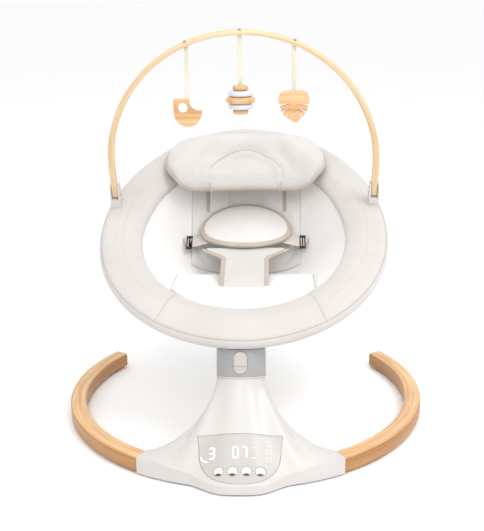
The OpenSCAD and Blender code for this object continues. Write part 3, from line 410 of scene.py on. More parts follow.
def slab_data(bottom, top):
    """Points and faces of the solid between two grids of the same size."""
    rows, cols = bottom.shape[:2]
    n = rows * cols
    points = np.concatenate([bottom.reshape(-1, 3), top.reshape(-1, 3)])
    faces = grid_faces(rows, cols) + grid_faces(rows, cols, start=n)
    border = list(range(cols))
    border += [j * cols + cols - 1 for j in range(1, rows)]
    border += [(rows - 1) * cols + i for i in range(cols - 2, -1, -1)]
    border += [j * cols for j in range(rows - 2, 0, -1)]
    for a, b in zip(border, border[1:] + border[:1]):
        faces.append((a, b, b + n, a + n))
    return points, faces


def joined(parts):
    """Points and faces of several solids as one."""
    points, faces, start = [], [], 0
    for p, f in parts:
        points.append(np.asarray(p).reshape(-1, 3))
        faces += [tuple(i + start for i in face) for face in f]
        start += len(points[-1])
    return np.concatenate(points), faces


def tube_data(path, across, through, up, wrap=False, sides=10):
    """Oval tube along a path; across is its half width, through its half height along up."""
    path = np.asarray(path, float)
    if wrap:
        step = np.roll(path, -1, 0) - np.roll(path, 1, 0)
    else:
        step = np.gradient(path, axis=0)
    step /= np.linalg.norm(step, axis=1)[:, None]
    up = np.broadcast_to(np.asarray(up, float), path.shape)
    side = np.cross(up, step)
    side /= np.linalg.norm(side, axis=1)[:, None]
    top = np.cross(step, side)
    angles = np.linspace(0, 2 * np.pi, sides, endpoint=False)
    rings = [path + side * np.cos(a) * across + top * np.sin(a) * through for a in angles]
    return loft_data(np.stack(rings, 1), wrap)


def baked(obj):
    """Piece with its modifiers applied."""
    graph = bpy.context.evaluated_depsgraph_get()
    graph.update()
    mesh = bpy.data.meshes.new_from_object(obj.evaluated_get(graph))
    old = obj.data
    obj.modifiers.clear()
    obj.data = mesh
    bpy.data.meshes.remove(old)


def cut(obj, data):
    """Takes a solid, given by its points and faces, out of a piece."""
    points, faces = data
    cutter = make(obj.name + "_cutter", points, faces, WHITE, "base")
    modifier = obj.modifiers.new("cut", "BOOLEAN")
    modifier.object = cutter
    modifier.solver = "EXACT"
    baked(obj)
    bpy.data.objects.remove(cutter)


def rounded(node, width, mat, segments=3):
    """Stand-in for a hard CAD node with its outer edges rounded."""
    source = frame["nodes"][node]
    mesh = source.data.copy()
    bm = bmesh.new()
    bm.from_mesh(mesh)
    bmesh.ops.remove_doubles(bm, verts=bm.verts, dist=2e-6)
    flat = np.radians(1.5)
    bmesh.ops.dissolve_limit(bm, angle_limit=flat, verts=bm.verts, edges=bm.edges)
    bm.to_mesh(mesh)
    bm.free()
    mesh.materials.clear()
    mesh.materials.append(mat)
    obj = bpy.data.objects.new(node + "_rounded", mesh)
    bpy.context.scene.collection.objects.link(obj)
    bevel = obj.modifiers.new("bevel", "BEVEL")
    bevel.width = width / 1000
    bevel.segments = segments
    bevel.limit_method = "ANGLE"
    bevel.angle_limit = np.radians(40)
    baked(obj)
    finish_mesh(obj, 50)
    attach(obj, source["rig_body"])
    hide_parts(node)
    return obj


# ---------- measures shared with the CAD ----------

RING_R = 300
LEG_W, LEG_H, LEG_ROUND = 27, 25, 4
LEG_START, LEG_END = 31, 123
FOOT_H = 3
WALL = 3
COLLAR_R = 38
SEAM_Y, SEAM_H = -170, 120
LEAN = np.radians(18)
SEAT_Y, SEAT_Z = 55.64, 302.53
TILT = np.radians(25)
TUBE_A, TUBE_B, TAPER = 230, 271, 0.077
RIM_R = 13
OPEN_A, OPEN_B, OPEN_MID = 172, 207, 6
BOWL_H, EDGE_D, CREASE = 145, 15, 28
SOFT_GAP = 1.4
SEAT_UP = np.array([0, -np.sin(TILT), np.cos(TILT)])


def seat_point(x, s, d):
    x, s, d = np.broadcast_arrays(x, s, d)
    y = SEAT_Y + s * np.cos(TILT) + d * np.sin(TILT)
    z = SEAT_Z + s * np.sin(TILT) - d * np.cos(TILT)
    return np.stack([x, y, z], -1).astype(float)


def on_axis(p):
    """Point given on the swing's leaning axis."""
    x, y, z = p[..., 0], p[..., 1], p[..., 2]
    along = SEAM_Y + y * np.cos(LEAN) + z * np.sin(LEAN)
    up = SEAM_H - y * np.sin(LEAN) + z * np.cos(LEAN)
    return np.stack([x + 0 * y, along, up], -1)


def open_x(s):
    t = np.minimum(1, np.abs(s - OPEN_MID) / OPEN_B)
    return OPEN_A * np.sqrt(1 - t * t) * (1 - TAPER * (s - OPEN_MID) / OPEN_B)


def bowl(x, s):
    """Depth of the hammock's inner face."""
    front = np.clip((CREASE - s) / (CREASE - OPEN_MID + OPEN_B), 0, 1)
    back = np.clip((s - CREASE) / (OPEN_MID + OPEN_B - CREASE), 0, 1)
    along = np.where(s < CREASE, 1 - front**1.25, 1 - back**1.45)
    w = open_x(s)
    t = np.where(w < 1, 1, np.minimum(1, np.abs(x) / np.maximum(w, 1)))
    return EDGE_D + (BOWL_H - EDGE_D) * along * (1 - t**3.2)


# ---------- floor ring ----------


def corner_profile(w, h, r, steps=5):
    """Rectangle with round corners, counter-clockwise."""
    points = []
    for quarter, (x, z) in enumerate([(1, 1), (-1, 1), (-1, -1), (1, -1)]):
        for k in range(steps):
            angle = np.pi / 2 * (quarter + k / (steps - 1))
            points.append(
                (x * (w / 2 - r) + r * np.cos(angle), z * (h / 2 - r) + r * np.sin(angle))
            )
    return np.array(points)


def add_leg(side):
    """Bent wooden leg with softened ends."""
    mid_r = RING_R - LEG_W / 2
    mid_z = FOOT_H + LEG_H / 2
    ends = [(0, 2.2), (0.5, 0.9), (1.4, 0.2), (2.6, 0)]
    length = np.radians(LEG_END - LEG_START) * mid_r
    stops = ends + [(x, 0) for x in np.linspace(6, length - 6, 150)]
    stops += [(length - x, inset) for x, inset in ends[::-1]]
    rings, grain = [], []
    for along, inset in stops:
        a = side * (np.radians(LEG_START + 0.1) + along / mid_r)
        section = corner_profile(LEG_W - 2 * inset, LEG_H - 2 * inset, LEG_ROUND - inset * 0.5)
        r = mid_r + section[:, 0]
        rings.append(np.stack([r * np.sin(a), -r * np.cos(a), mid_z + section[:, 1]], -1))
        grain.append(np.stack([along + 0 * r, section[:, 0] + 300 * side, section[:, 1]], -1))
    name = "right_leg" if side > 0 else "left_leg"
    leg = make(name + "_beech", *loft_data(rings), WOOD, "base", "wood", 30, grain=grain)
    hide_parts(name)


add_leg(-1)
add_leg(1)

# ---------- base housing ----------

NOSE_OUT, NOSE_H, NOSE_HALF = 20, 15, 15
ARM_PROUD, END_WALL = 1, 0.6
BACK_HALF, BACK_REACH = 22, 170
PANEL_W, PANEL_H, PANEL_SIDE = 126, 76, 22
KEY_D, KEY_PITCH, KEY_Y = 15, 20.2, -19
INLET_HOLE_R = 5.9


def hill(a, half, level):
    return 1 - smooth((np.abs(a) - level) / (half - level))


def outline(inset, end, front, back):
    """Housing outline on the floor: x, y, angle around the column, angle a, 1 on the front."""
    t = np.linspace(-1, 1, front)
    a = end * t
    r = RING_R + ARM_PROUD + (NOSE_OUT - ARM_PROUD) * hill(a, NOSE_HALF, 4) - inset
    turn = 82 * np.sign(t) * np.abs(t) ** 0.7
    rad = np.radians(a)
    ahead = np.stack([r * np.sin(rad), -r * np.cos(rad), turn, a, np.ones(front)], -1)
    t = np.linspace(0, 1, back)
    a = end * (1 - 2 * t)
    r = RING_R - LEG_W - ARM_PROUD + inset
    r = r - (BACK_REACH - LEG_W - ARM_PROUD) * hill(a, BACK_HALF, 5)
    rad = np.radians(a)
    behind = np.stack([r * np.sin(rad), -r * np.cos(rad), lerp(98, 262, t), a, np.zeros(back)], -1)
    return np.concatenate([ahead, behind])


def housing_ring(t, points, inset):
    phi = np.pi / 2 * t
    x, y, turn, a, front = points.T
    skirt = lerp(FOOT_H + LEG_H + ARM_PROUD, NOSE_H + 1, front * hill(a, 26, 6)) - inset
    rad = np.radians(turn)
    r = COLLAR_R - inset
    top = on_axis(np.stack([r * np.sin(rad), -r * np.cos(rad), 0 * r * rad], -1))
    shoulder = 1.7 - 0.55 * hill(a, 30, 16) - 0.1 * smooth(1 - np.abs(np.abs(a) - 17) / 9)
    p = np.where(front == 1, shoulder, 1.7 + 0.1 * hill(a, BACK_HALF, 5))
    across = np.sin(phi) ** (2 / p)
    up = 1 - np.maximum(np.cos(phi), 0) ** (2 / p)
    back = 0.9 * smooth((np.abs(a) - 18) / 10)
    inwards = lerp(across, up, back)
    return np.stack(
        [lerp(x, top[:, 0], across), lerp(y, top[:, 1], inwards), lerp(skirt, top[:, 2], up)], -1
    )


def housing_skin(inset, end, steps, front=97, back=61):
    points = outline(inset, end, front, back)
    floor = np.column_stack([points[:, 0], points[:, 1], np.full(len(points), FOOT_H)])
    return [floor] + [housing_ring(t, points, inset) for t in np.linspace(0, 1, steps)]


middle_line = outline(0, LEG_START, 39, 25)
panel_low = housing_ring(0.1, middle_line, 0)[19]
panel_high = housing_ring(0.56, middle_line, 0)[19]
panel_rise = np.arctan2(panel_high[2] - panel_low[2], panel_high[1] - panel_low[1])
rise_cos, rise_sin = np.cos(panel_rise), np.sin(panel_rise)
panel_axes = np.array([[1, 0, 0], [0, rise_cos, rise_sin], [0, -rise_sin, rise_cos]])
panel_mid = panel_low + PANEL_H / 2 * panel_axes[1]


def skin_table():
    """Height of the housing's skin over the panel's frame, on a grid of x and y."""
    fine = outline(0, LEG_START, 241, 9)
    rows = [(housing_ring(t, fine, 0)[:241] - panel_mid) @ panel_axes.T for t in np.linspace(0, 1, 90)]
    xs = np.linspace(-75, 75, 151)
    ys = np.linspace(-46, 46, 93)
    heights = np.zeros((len(ys), len(xs)))
    for k, x in enumerate(xs):
        y_line = [np.interp(x, row[:, 0], row[:, 1]) for row in rows]
        z_line = [np.interp(x, row[:, 0], row[:, 2]) for row in rows]
        heights[:, k] = np.interp(ys, y_line, z_line)
    return heights


SKIN = skin_table()


def skin_z(x, y):
    fx = np.clip(x + 75, 0, 149.999)
    fy = np.clip(y + 46, 0, 91.999)
    i, j = fx.astype(int), fy.astype(int)
    u, v = fx - i, fy - j
    low = lerp(SKIN[j, i], SKIN[j, i + 1], u)
    high = lerp(SKIN[j + 1, i], SKIN[j + 1, i + 1], u)
    return lerp(low, high, v)


def on_panel(x, y, lift):
    """Points over the housing's skin, from their place on the panel."""
    x, y, lift = np.broadcast_arrays(np.asarray(x, float), np.asarray(y, float), np.asarray(lift, float))
    local = np.stack([x, y, skin_z(x, y) + lift], -1)
    return panel_mid + local @ panel_axes


def panel_half(y):
    t = np.clip((PANEL_H / 2 - PANEL_SIDE - y) / (PANEL_H - PANEL_SIDE), 0, 1)
    side = PANEL_W / 2 - 3 * np.minimum(1, (PANEL_H / 2 - y) / PANEL_SIDE)
    return side * (1 - t**2.4) ** (1 / 2.4)


def panel_plate(grow, below, above, soft=0.0):
    """Plate with the panel's outline that follows the skin; soft rounds its upper edge."""
    v = np.linspace(0, 1, 61) ** 1.5
    y = (PANEL_H * v - PANEL_H / 2)[:, None]
    u = np.sin(np.pi / 2 * np.linspace(-1, 1, 61))[None, :]
    x = u * (np.maximum(panel_half(y), 10) + grow)
    y = y * (1 + 2 * grow / PANEL_H) + 0 * x
    near = np.maximum(np.abs(u) + 0 * y, np.abs(y) / (PANEL_H / 2 + grow))
    drop = soft * np.clip((near - 0.985) / 0.015, 0, 1) ** 2
    return slab_data(on_panel(x, y, -below), on_panel(x, y, above - drop))


def disc_data(cx, cy, r, below, above, soft, sides=40):
    """Round plug through the skin whose top follows it, with a soft edge."""
    steps = [(0.02, 0), (0.5, 0), (0.85, 0)]
    steps += [(1 - soft / r, 0), (1 - 0.3 * soft / r, -0.3 * soft), (1, -soft)]
    angles = np.linspace(0, 2 * np.pi, sides, endpoint=False)
    rings = [
        on_panel(cx + r * k * np.cos(angles), cy + r * k * np.sin(angles), above + dz) for k, dz in steps
    ]
    rings.append(on_panel(cx + r * np.cos(angles), cy + r * np.sin(angles), -below))
    return loft_data(rings)


skins = housing_skin(0, LEG_START, 40) + housing_skin(WALL, LEG_START - END_WALL, 40)[::-1]
housing = make("housing_shell", *loft_data(skins, True), WHITE, "base", "white_plastic", 32)
cut(housing, panel_plate(0.45, 6, 6))
inlet_low, inlet_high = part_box("power_inlet")
inlet = [(a + b) / 2 * 1000 for a, b in zip(inlet_low, inlet_high)]
turns = np.linspace(0, 2 * np.pi, 40, endpoint=False)
inlet_x, inlet_z = inlet[0] + INLET_HOLE_R * np.cos(turns), inlet[2] + INLET_HOLE_R * np.sin(turns)
inlet_rings = [
    np.stack([inlet_x, 0 * turns + y - RING_Y, inlet_z], -1) for y in (inlet[1] - 20, inlet[1] + 20)
]
cut(housing, loft_data(inlet_rings))
finish_mesh(housing, 32)
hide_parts("base_housing")

panel = make("panel_plate", *panel_plate(0, 2.2, 0.05, 0.35), PANEL, "base", "white_plastic", 40)
key_places = [((i - 1.5) * KEY_PITCH, KEY_Y) for i in range(4)]
for x, y in key_places:
    cut(panel, disc_data(x, y, KEY_D / 2 + 0.4, 6, 6, 0.1))
finish_mesh(panel, 40)
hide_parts("control_panel")


def mark_data(cx, cy):
    """Dark lens along the lower edge of a key."""
    t = np.linspace(0, 1, 25)
    x = 5.4 * (2 * t - 1)
    low = -np.sqrt(6.9**2 - x**2)
    high = low + (-2.7 - low) * np.sin(np.pi * t) ** 0.7
    v = np.linspace(0, 1, 7)[:, None]
    y = lerp(low[None, :], high[None, :] + 0.02, v)
    x = x[None, :] + 0 * y
    return slab_data(on_panel(cx + x, cy + y, -0.3), on_panel(cx + x, cy + y, 0.22))


for (x, y), body in zip(key_places, ["power_button", "speed_button", "timer_button", "sound_button"]):
    key = make(body + "_cap", *disc_data(x, y, KEY_D / 2, 3.6, 0.1, 0.5), KEY, body, "white_plastic", 50)
    make(body + "_mark", *mark_data(x, y), MARK, body, "black_plastic", 50)
    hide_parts(body)

FIGURE_H, FIGURE_W, BAR = 16, 7.5, 1.7


def figure_bars(segments):
    """Corner-cut bars of a seven-segment figure, as outlines around its middle."""
    w, h, g = FIGURE_W / 2, FIGURE_H / 2, 0.35
    lines = [
        ((-w, h), (w, h)), ((w, h), (w, 0)), ((w, 0), (w, -h)), ((-w, -h), (w, -h)),
        ((-w, -h), (-w, 0)), ((-w, 0), (-w, h)), ((-w, 0), (w, 0)),
    ]
    bars = []
    for k in segments:
        p, q = np.array(lines[k][0], float), np.array(lines[k][1], float)
        d = (q - p) / np.linalg.norm(q - p)
        n = np.array([-d[1], d[0]]) * BAR / 2
        p, q = p + d * g, q - d * g
        tip = d * BAR / 2
        bars.append([p, p + tip - n, q - tip - n, q, q - tip + n, p + tip + n])
    return bars


def plate_on_skin(outline_points, cx, cy, low=0.07, high=0.3):
    points = np.array(outline_points)
    x, y = cx + points[:, 0], cy + points[:, 1]
    return loft_data([on_panel(x, y, low), on_panel(x, y, high)])


THREE, ZERO, SEVEN = [0, 1, 2, 3, 6], [0, 1, 2, 3, 4, 5], [0, 1, 2]
digit_parts = []
for cx, segments in [(-41, THREE), (-6, ZERO), (6.5, SEVEN)]:
    digit_parts += [plate_on_skin(bar, cx, 10) for bar in figure_bars(segments)]
digits = make("lit_digits", *joined(digit_parts), LIT, "base", "display", 30)
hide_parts("display_digits")


def band_on_skin(cx, cy, r, start, end, w_mid):
    """Curved band on the skin, thickest half way."""
    angles = np.radians(np.linspace(start, end, 28))
    half = 0.2 + (w_mid - 0.2) * np.sin(np.linspace(0, np.pi, 28))
    outer = np.stack([(r + half) * np.cos(angles), (r + half) * np.sin(angles)], -1)
    inner = np.stack([(r - half) * np.cos(angles), (r - half) * np.sin(angles)], -1)
    return plate_on_skin(np.concatenate([outer, inner[::-1]]), cx, cy)


moon = make("lit_moon", *band_on_skin(-45, 10, 13, 196, 268, 0.9), LIT, "base", "display", 30)
symbol_parts = []
for i in range(3):
    for k in range(4):
        symbol_parts.append(band_on_skin(43, 25 - 12 * i, 3.7, 90 * k + 8, 90 * k + 82, 0.5))
symbol_parts += [plate_on_skin(bar, 21, 10) for bar in figure_bars([0, 3])]
# unlit symbols, drawn with a faint painted glow
make("faint_symbols", *joined(symbol_parts), FAINT, "base", "display", 30)
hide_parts("display_symbols")

# ---------- seat rim ----------


def tube_point(a):
    return TUBE_A * np.cos(a) * (1 - TAPER * np.sin(a)), TUBE_B * np.sin(a)


def rim_frame(a):
    """Tube's middle and the inward direction at an angle around the rim."""
    here = seat_point(*tube_point(a), 0)
    step = seat_point(*tube_point(a + 0.01), 0) - seat_point(*tube_point(a - 0.01), 0)
    step /= np.linalg.norm(step, axis=-1)[..., None]
    return here, np.cross(SEAT_UP, step)


def band_width(a):
    return 58 + 12 * np.maximum(0, -np.sin(a)) ** 2


def rim_section(w):
    """Section of the padded rim as x inwards and y up, for a list of widths."""
    r = RIM_R
    corners = [
        (0, -0.71 * r, -0.71 * r), (0, 0, -r), (0, 0.75 * r, -0.8 * r), (0.42, 0, -7), (0.72, 0, -10),
        (0.9, 0, -12.5), (1, 0, -9), (1.01, 0, -5), (0.94, 0, 1.5), (0.78, 0, 7), (0.58, 0, 11.5),
        (0.38, 0, 13.2), (0.2, 0, r), (0, 0, r), (0, -0.71 * r, 0.71 * r), (0, -r, 0),
    ]
    p = np.array([[share * w + x, y + 0 * w] for share, x, y in corners])
    rounded_points = []
    for k in range(len(p)):
        a, b, c, d = p[k - 1], p[k], p[(k + 1) % len(p)], p[(k + 2) % len(p)]
        for t in (0, 0.25, 0.5, 0.75):
            square = (2 * a - 5 * b + 4 * c - d) * t**2
            cube = (3 * b - a - 3 * c + d) * t**3
            rounded_points.append(0.5 * (2 * b + (c - a) * t + square + cube))
    return np.array(rounded_points)


RIM_STEPS = 720
PLEATS = np.radians([-54, -126])
FOLD_FROM, FOLD_TO = np.radians(-54), np.radians(40)
PLEAT_HALF = 2.6
PLEAT_SLANT = 0.085


def pleat_angle(pleat, inwards):
    """Angle of a pleat, which leans towards the front as it runs outwards."""
    return pleat - np.sign(pleat + np.pi / 2) * PLEAT_SLANT * (1 - inwards)


def rim_rings():
    a = np.linspace(0, 2 * np.pi, RIM_STEPS, endpoint=False)
    here, inward = rim_frame(a)
    section = rim_section(band_width(a))
    rings = []
    for x, y in section:
        swell = 0.5 * np.sin(a * 9 + x * 0.05) * np.sin(a * 4 + 1.3) * (y > 0)
        y = y + swell
        inwards = np.clip(x / 60, 0, 1)
        for pleat in PLEATS:
            gap = (a - pleat_angle(pleat, inwards) + np.pi) % (2 * np.pi) - np.pi
            dip = np.exp(-((gap * 250 / PLEAT_HALF) ** 2))
            y = y - 1.8 * dip * (y > 0) * smooth(inwards * 3 + 0.4)
        side = np.abs((a + np.pi / 2 + np.pi) % (2 * np.pi) - np.pi) - np.pi / 2
        shown = smooth((side - FOLD_FROM) / 0.05) * smooth((FOLD_TO - side) / 0.5)
        gap = (x / band_width(a) - 0.42) * 62
        y = y - 1.6 * np.exp(-((gap / 2.6) ** 2)) * shown * (y > 0)
        rings.append(here + inward * x[:, None] + SEAT_UP * y[:, None])
    rings = np.stack(rings, 1)
    out = rings[:, SEAM_ROW] - here
    out /= np.linalg.norm(out, axis=-1)[:, None]
    for row, depth in ((SEAM_ROW - 1, 0.4), (SEAM_ROW, 1.3), (SEAM_ROW + 1, 0.4)):
        rings[:, row] -= out * depth
    return rings


SEAM_ROW = 56
rim_points = rim_rings()
rim = make("rim_velvet", *loft_data(rim_points, True), VELVET, "seat", "velvet", 70)
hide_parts("rim_cover")


def rim_line(rows, cols, lift=0.25):
    """Line on the rim's surface through grid rows and columns, lifted off it a little."""
    middle = rim_frame(np.linspace(0, 2 * np.pi, RIM_STEPS, endpoint=False))[0]
    p = rim_points[rows % RIM_STEPS, cols]
    out = p - middle[rows % RIM_STEPS]
    out /= np.linalg.norm(out, axis=-1)[..., None]
    return p + out * lift


seams = []
around = np.arange(RIM_STEPS)
seams.append(tube_data(rim_line(around, np.full(RIM_STEPS, SEAM_ROW)), 0.8, 0.8, SEAT_UP, True, 6))
for pleat in PLEATS:
    cols = np.arange(33, 57)
    inwards = np.clip(rim_section(band_width(np.array([pleat])))[cols, 0, 0] / 60, 0, 1)
    rows = np.round(pleat_angle(pleat, inwards) / (2 * np.pi) * RIM_STEPS).astype(int)
    line = rim_line(rows, cols, 0.1)
    seams.append(tube_data(line, 0.6, 0.6, SEAT_UP, False, 6))
make("rim_seams", *joined(seams), THREAD, "seat", "webbing", 60)

# ---------- hammock ----------


def liner_rings(extra):
    reach = np.append(np.sin(np.pi / 2 * np.linspace(0, 1, 44) / 1.05), 1.05)
    reach[0] = 0.01
    a = np.linspace(0, 2 * np.pi, 200, endpoint=False)
    rings = []
    for r in reach:
        x = OPEN_A * np.cos(a) * (1 - TAPER * np.sin(a)) * r
        s = OPEN_MID + OPEN_B * np.sin(a) * r
        wave = 0.6 * np.sin(a * 14 + r * 5) * smooth((r - 0.55) / 0.3) * smooth((1.02 - r) / 0.15)
        rings.append(seat_point(x, s, bowl(x, s) + wave + extra))
    return rings


liner = make(
    "hammock_lining",
    *loft_data(liner_rings(0) + liner_rings(2.6)[::-1]),
    LINING,
    "seat",
    "white_cloth",
    60,
)
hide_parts("seat_liner")

# ---------- stuffed pieces ----------


def near_line(points, line, reach):
    """True for points closer to the line's points than reach, all in millimetres."""
    tree = kdtree.KDTree(len(line))
    for k, p in enumerate(line):
        tree.insert(Vector(p), k)
    tree.balance()
    return np.array([tree.find(Vector(p))[2] < reach for p in points])


def coordinates(obj):
    co = np.zeros(len(obj.data.vertices) * 3)
    obj.data.vertices.foreach_get("co", co)
    return co.reshape(-1, 3) * 1000 - [0, RING_Y, 0]


def place_vertices(obj, points):
    obj.data.vertices.foreach_set("co", ((points + [0, RING_Y, 0]) / 1000).ravel())
    obj.data.update()


def inflate(obj, held, pressure=4.0, cap=6.0, under_cap=1.0, reach=3.0):
    """Swell as pressed cloth with the border held, cap the swelling, subdivide."""
    start = coordinates(obj)
    group = obj.vertex_groups.new(name="held")
    fixed = np.flatnonzero(near_line(start, held, reach))
    group.add([int(k) for k in fixed], 1.0, "REPLACE")
    modifier = obj.modifiers.new("cloth", "CLOTH")
    settings = modifier.settings
    settings.quality = 5
    settings.use_pressure = True
    settings.uniform_pressure_force = pressure
    settings.vertex_group_mass = "held"
    settings.effector_weights.gravity = 0
    modifier.collision_settings.use_collision = False
    modifier.point_cache.frame_end = 20
    for number in range(1, 21):
        bpy.context.scene.frame_set(number)
    baked(obj)
    bpy.context.scene.frame_set(1)
    move = coordinates(obj) - start
    size = np.linalg.norm(move, axis=1)
    limit = np.where(move @ SEAT_UP < 0, under_cap, cap)
    move *= (limit * np.tanh(size / limit) / np.maximum(size, 1e-6))[:, None]
    place_vertices(obj, start + move)
    obj.vertex_groups.clear()
    finer = obj.modifiers.new("finer", "SUBSURF")
    finer.levels = 1
    finer.render_levels = 1
    baked(obj)


def to_seat(points):
    """x, s and height over the seat plane of points."""
    y, z = points[:, 1] - SEAT_Y, points[:, 2] - SEAT_Z
    s = y * np.cos(TILT) + z * np.sin(TILT)
    height = z * np.cos(TILT) - y * np.sin(TILT)
    return points[:, 0], s, height


def puff(name, place, under, thick, mat, slot, carve=None, cap=6.0, thin=2.0, fill=0.6, **options):
    """Stuffed pad over the seat: place(u, v) gives x and s, under(x, s) its lower depth."""
    t = np.linspace(-1, 1, 49)
    edge = lerp(t, np.sin(np.pi / 2 * t), 0.7)
    u, v = np.meshgrid(edge, edge)
    x, s = place(u, v)
    depth = under(x, s)
    rise = thin + (thick - thin) * ((1 - np.abs(u) ** 5) * (1 - np.abs(v) ** 5)) ** 0.5
    data = slab_data(seat_point(x, s, depth), seat_point(x, s, depth - rise))
    obj = make(name, *data, mat, "seat", slot)
    border = seat_point(x, s, depth - thin / 2)
    held = np.concatenate([border[0], border[-1], border[:, 0], border[:, -1]])
    inflate(obj, held, cap=cap, **options)
    if carve is not None:
        points = coordinates(obj)
        px, ps, height = to_seat(points)
        top = smooth((height + under(px, ps)) / (thick * 0.5))
        place_vertices(obj, points - SEAT_UP * (carve(px, ps) * top)[:, None])
    finish_mesh(obj, 80)
    return obj


def disc(u, v):
    return u * np.sqrt(1 - v * v / 2), v * np.sqrt(1 - u * u / 2)


def solid_pad(name, place, under, thick, mat, slot, thin):
    """Flat padded layer with a soft edge, modelled directly."""
    edge = np.sin(np.pi / 2 * np.linspace(-1, 1, 57))
    u, v = np.meshgrid(edge, edge)
    x, s = place(u, v)
    depth = under(x, s)
    near = np.minimum(1, np.maximum(np.abs(u), np.abs(v)) ** 10)
    rise = thin + (thick - thin) * np.sqrt(1 - near)
    sink = 0.35 * thin * near
    data = slab_data(seat_point(x, s, depth - sink), seat_point(x, s, depth - rise))
    obj = make(name, *data, mat, "seat", slot, 70)
    return obj


# seat cushion
CUSHION_HALF, CUSHION_T = 118, 20


def cushion_front(x):
    return OPEN_MID - OPEN_B * 0.93 * np.sqrt(1 - np.minimum(1, np.abs(x) / (OPEN_A * 0.95)) ** 2)


def cushion_back(x):
    return CREASE - 6 - 62 * (np.abs(x) / CUSHION_HALF) ** 3


def cushion_place(u, v):
    x = CUSHION_HALF * u
    return x, lerp(cushion_front(x), cushion_back(x), (v + 1) / 2)


cushion = puff(
    "seat_pad", cushion_place, lambda x, s: bowl(x, s) - SOFT_GAP, CUSHION_T, LINING, "white_cloth",
    cap=6.0, thin=5.0, fill=0.65,
)
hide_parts("seat_cushion")
t = np.linspace(-1, 1, 60)[:-1]
one = np.ones_like(t)
border = cushion_place(np.concatenate([t, one, -t, -one]), np.concatenate([-one, t, one, -t]))
# thin tube round the cushion's top edge, coloured darker to paint the shadow line along that edge
cushion_shadow_piping = seat_point(*border, bowl(*border) - 5)
make("seat_pad_shadow_piping", *tube_data(cushion_shadow_piping, 1.0, 1.0, SEAT_UP, True, 8), THREAD, "seat", "webbing", 60)

# back panel
BACK_HALF_W = OPEN_A * 0.58


def back_place(u, v):
    s = lerp(CREASE + 4, OPEN_MID + OPEN_B * 0.93, (v + 1) / 2)
    return np.minimum(BACK_HALF_W, open_x(s) * 0.9) * u, s


# back pad in the plush painted lighter against the shade inside the seat
back = puff(
    "back_pad", back_place, lambda x, s: bowl(x, s) - SOFT_GAP, 11, PLUSH_PAINTED_LIGHT, "velvet",
    cap=4.0, thin=4.0, fill=0.45,
)
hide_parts("back_panel")

# head pillow
PILLOW_S, PILLOW_A, PILLOW_B, PILLOW_T, PILLOW_SINK = 168, 146, 60, 34, 24
FULLNESS = 0.35
# Head rest: half width, where its round top starts up the slope, and how far that rises
HOLLOW_W, HOLLOW_S, HOLLOW_RISE = 66, 118, 60


def pillow_under(x, s):
    w = np.where(s - OPEN_MID < OPEN_B, open_x(s), 0)
    sides = smooth((np.abs(x) / np.maximum(w, 1) - 0.6) / 0.38)
    return lerp(10, -RIM_R - 4, np.maximum(sides, smooth((s - PILLOW_S + 3) / 40)))


def pillow_place(inset):
    def place(u, v):
        x, s = disc(u, v)
        x = (PILLOW_A - inset) * lerp(x, u, FULLNESS)
        s = (PILLOW_B - inset) * lerp(s, v, FULLNESS)
        return x, PILLOW_S + s - PILLOW_SINK * (x / PILLOW_A) ** 2 * (1 - v) / 2

    return place


def head_hollow(x, s):
    """How deep the head rest is pressed in: a sunk dome with a stitched groove around it."""
    rise = np.where(s > HOLLOW_S, (s - HOLLOW_S) / HOLLOW_RISE, 0)
    far = (np.hypot(x / (HOLLOW_W - 0.3 * np.maximum(0, HOLLOW_S - s)), rise) - 1) * 56
    return 8 * smooth(-far / 14) + 4.5 * np.exp(-((far / 3.2) ** 2))


def hollow_line():
    """Line of the head rest's seam, from the lower edge up, over and down again."""
    a = np.linspace(0, np.pi, 61)
    x = HOLLOW_W * np.cos(a)
    s = HOLLOW_S + HOLLOW_RISE * np.sin(a)
    down = np.linspace(96, 116, 8)
    low = HOLLOW_W - 0.3 * (HOLLOW_S - down)
    x = np.concatenate([low, x, -low[::-1]])
    return x, np.concatenate([down, s, down[::-1]])


pillow = puff(
    "head_pillow_top", pillow_place(3), lambda x, s: pillow_under(x, s) - 4, PILLOW_T - 6, PLUSH,
    "velvet", carve=head_hollow, cap=6.0, thin=5.0, fill=0.7,
)
solid_pad("head_pillow_binding", pillow_place(0), pillow_under, 9, PIPING, "webbing", 7)
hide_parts("head_pillow")


def surface_height(obj):
    """Function that gives the height of a pad's top over the seat plane."""
    points = coordinates(obj)
    px, ps, height = to_seat(points)
    keep = height > -pillow_under(px, ps) + 8
    tree = kdtree.KDTree(int(keep.sum()))
    for k, (x, s) in enumerate(zip(px[keep], ps[keep])):
        tree.insert(Vector((x, s, 0)), k)
    tree.balance()
    kept = height[keep]
    return lambda x, s: np.array([kept[tree.find(Vector((a, b, 0)))[1]] for a, b in zip(x, s)])


line_x, line_s = hollow_line()
line_height = surface_height(pillow)(line_x, line_s)
line_height = np.convolve(np.pad(line_height, 3, "edge"), np.ones(7) / 7, "valid")
seam = tube_data(seat_point(line_x, line_s, -line_height), 0.8, 0.8, SEAT_UP, False, 8)
make("head_pillow_seam", *seam, THREAD, "seat", "webbing", 60)

# belly pad
BELLY_S, BELLY_A, BELLY_B, BELLY_T = 78, 83, 57, 13


def belly_under(x, s):
    return 68 - 0.045 * (s - BELLY_S) + 12 * (x / BELLY_A) ** 2


def belly_place(inset):
    def place(u, v):
        x, s = disc(u, v)
        return (BELLY_A - inset) * x, BELLY_S + (BELLY_B - inset) * s

    return place


solid_pad("belly_pad_binding", belly_place(0), belly_under, 7, PIPING, "webbing", 5)
# belly pad top in the plush painted lighter against the pillow's shadow
belly = puff(
    "belly_pad_top", belly_place(7), lambda x, s: belly_under(x, s) - 5.5, BELLY_T - 9, PLUSH_PAINTED_LIGHT, "velvet",
    cap=2.0, thin=2.0, fill=0.55,
)
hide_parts("belly_pad")

# crotch strap
CROTCH_LOW, CROTCH_HIGH = -94, 28


def crotch_half(t):
    return 42 + 36 * smooth((t - 0.74) / 0.26)


